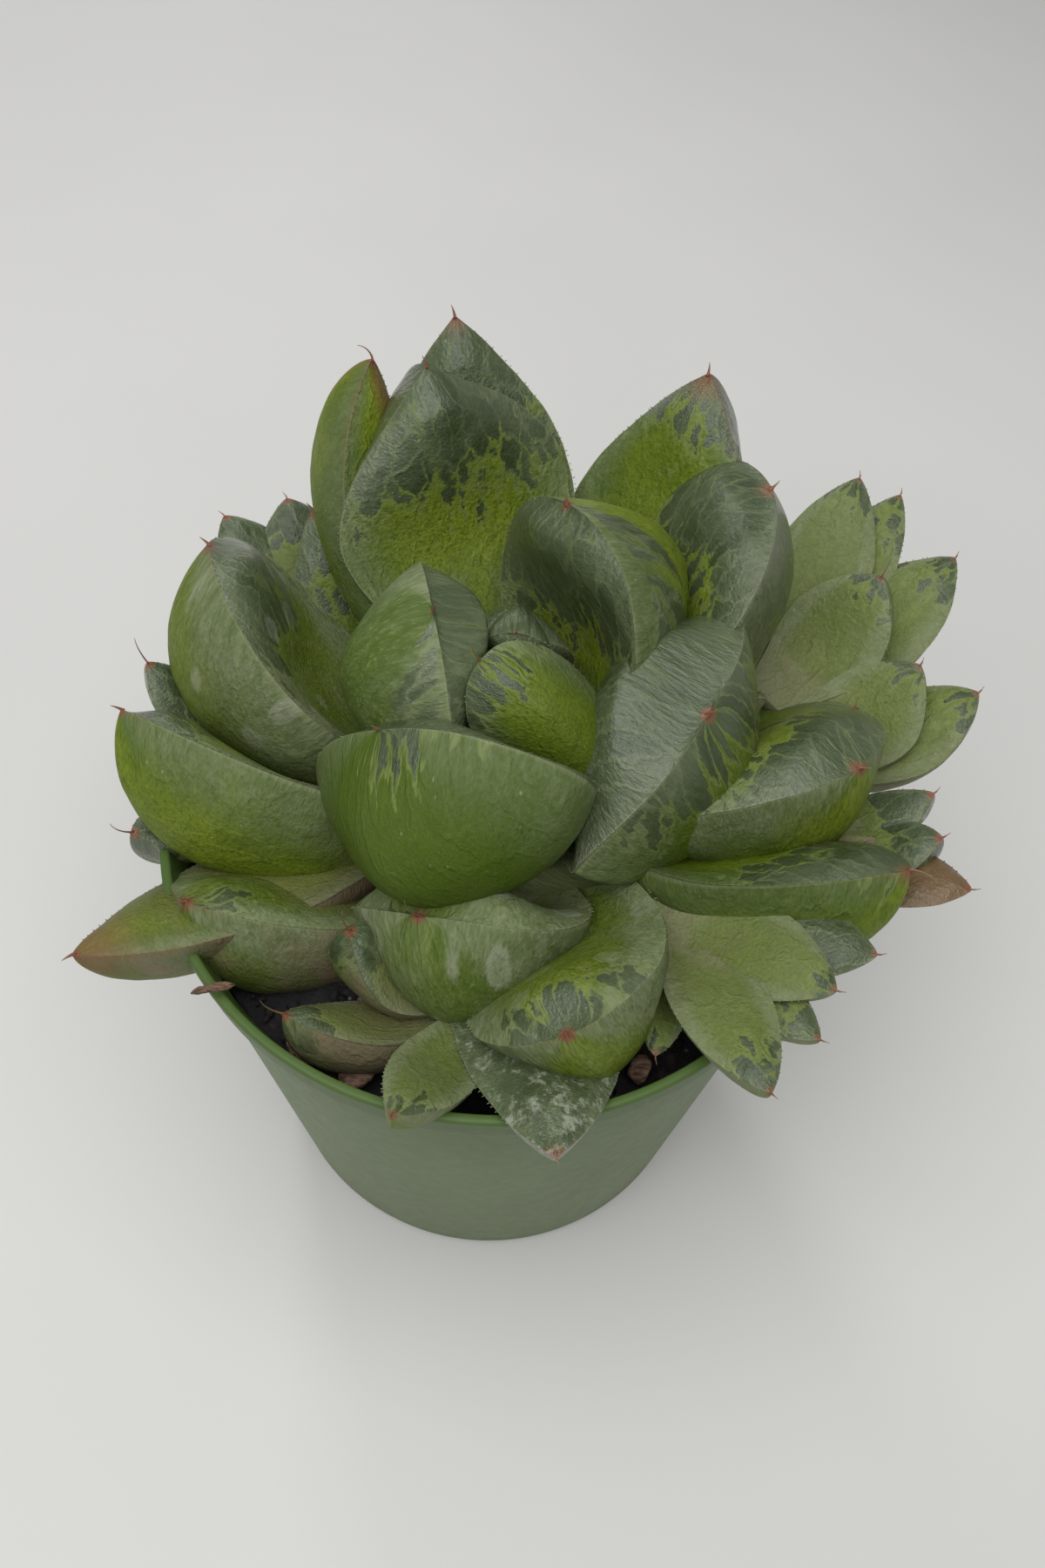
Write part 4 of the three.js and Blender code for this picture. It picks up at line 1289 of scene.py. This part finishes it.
@dataclass
class Studio:
    """The pale floor, the soft light and the camera."""

    floor_size: float = 3000.0
    camera_place: Triple = (2.7, -93.0, 192.0)
    look_down: float = 53.2
    roll: float = 3.3
    lens: float = 32.0
    sky: float = 0.2

    def build(self) -> None:
        """Sets up the whole studio."""
        self.add_floor()
        self.add_sky()
        self.add_light("key_light", (-60.0, -190.0, 620.0), 700.0, 4.35)
        self.add_light("back_light", (-170.0, 430.0, 330.0), 120.0, 0.45)
        self.add_camera()

    def add_floor(self) -> None:
        """Adds the floor, which carries nothing of the object."""
        bm = bmesh.new()
        bmesh.ops.create_grid(bm, x_segments=2, y_segments=2, size=self.floor_size / 2)
        floor = object_from(bm, "floor")
        floor.data.materials.append(PaperFloor().material())

    def add_sky(self) -> None:
        """Sets an even pale light from all round."""
        world = bpy.data.worlds.new("studio")
        world.use_nodes = True
        back = world.node_tree.nodes["Background"]
        back.inputs["Color"].default_value = (1.0, 1.0, 0.985, 1.0)
        back.inputs["Strength"].default_value = self.sky
        bpy.context.scene.world = world

    def add_light(self, name: str, place: Triple, size: float, power: float) -> None:
        """Adds a square soft box that faces the pot.

        Args:
            name: the light's name.
            place: where it hangs, in millimetres.
            size: the length of its side.
            power: its power in watts.
        """
        lamp = bpy.data.lights.new(name, "AREA")
        lamp.energy = power
        lamp.size = size * MM
        light = bpy.data.objects.new(name, lamp)
        light.location = Vector(place) * MM
        aim = Vector((0.0, 0.0, 0.06)) - light.location
        light.rotation_euler = aim.to_track_quat("-Z", "Y").to_euler()
        bpy.context.scene.collection.objects.link(light)

    def add_camera(self) -> None:
        """Adds the camera, which looks down at the plant with a slight roll."""
        data = bpy.data.cameras.new("camera")
        data.lens = self.lens
        data.sensor_width = 36.0
        data.clip_start = 0.005
        data.clip_end = 20.0
        camera = bpy.data.objects.new("camera", data)
        down, roll = math.radians(self.look_down), math.radians(self.roll)
        ahead = Vector((0.0, math.cos(down), -math.sin(down)))
        level = Vector((1.0, 0.0, 0.0))
        above = level.cross(ahead)
        right = level * math.cos(roll) + above * math.sin(roll)
        up = above * math.cos(roll) - level * math.sin(roll)
        turn = Matrix((right, up, -ahead)).transposed().to_4x4()
        camera.matrix_world = Matrix.Translation(Vector(self.camera_place) * MM) @ turn
        bpy.context.scene.collection.objects.link(camera)
        bpy.context.scene.camera = camera


def main() -> None:
    """Builds the studio and the potted plant, piece by piece."""
    logging.basicConfig(level=logging.INFO, format="%(name)s %(message)s")
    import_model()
    Studio().build()
    pot = NurseryPot()
    pot.build(PotPlastic().material(pot.height, pot.collar_height))
    PottingSoil(pot).build(SoilMix().material())
    skin = LeafSkin()
    stalk = FibrousFinish("stalk_skin", (0.05, 0.062, 0.022), (0.15, 0.16, 0.08), (0.3, 0.3, 1.5), 0.6)
    MainPlant().build(skin.material(), stalk.material())
    young = replace(skin, name="young_leaf_skin", base_green=(0.23, 0.24, 0.11),
                    deep_green=(0.112, 0.15, 0.036), yellow_green=(0.165, 0.215, 0.045),
                    pink=(0.195, 0.165, 0.095)).material()
    for offset in side_rosettes():
        offset.build(young)
    bark = FibrousFinish("bark", (0.07, 0.038, 0.026), (0.36, 0.22, 0.15), (0.4, 2.0, 2.0)).material()
    for name, place, size, turn in (
        ("bark_chip_1", (-13.3, -29.9), (4.2, 2.6, 2.0), 30),
        ("bark_chip_2", (-19.5, -26.8), (4.0, 2.8, 1.8), 125),
        ("bark_chip_3", (17.1, -26.9), (3.6, 2.4, 1.8), 70),
    ):
        BarkChip(name, place, size, turn).build(bark)
    husk = FibrousFinish("dry_husk", (0.05, 0.028, 0.018), (0.21, 0.125, 0.07), (0.4, 2.2, 2.2), 0.7, 0.2)
    DryLeaf().build(husk.material())
    bpy.context.scene.view_settings.view_transform = "Standard"


if __name__ == "__main__":
    main()
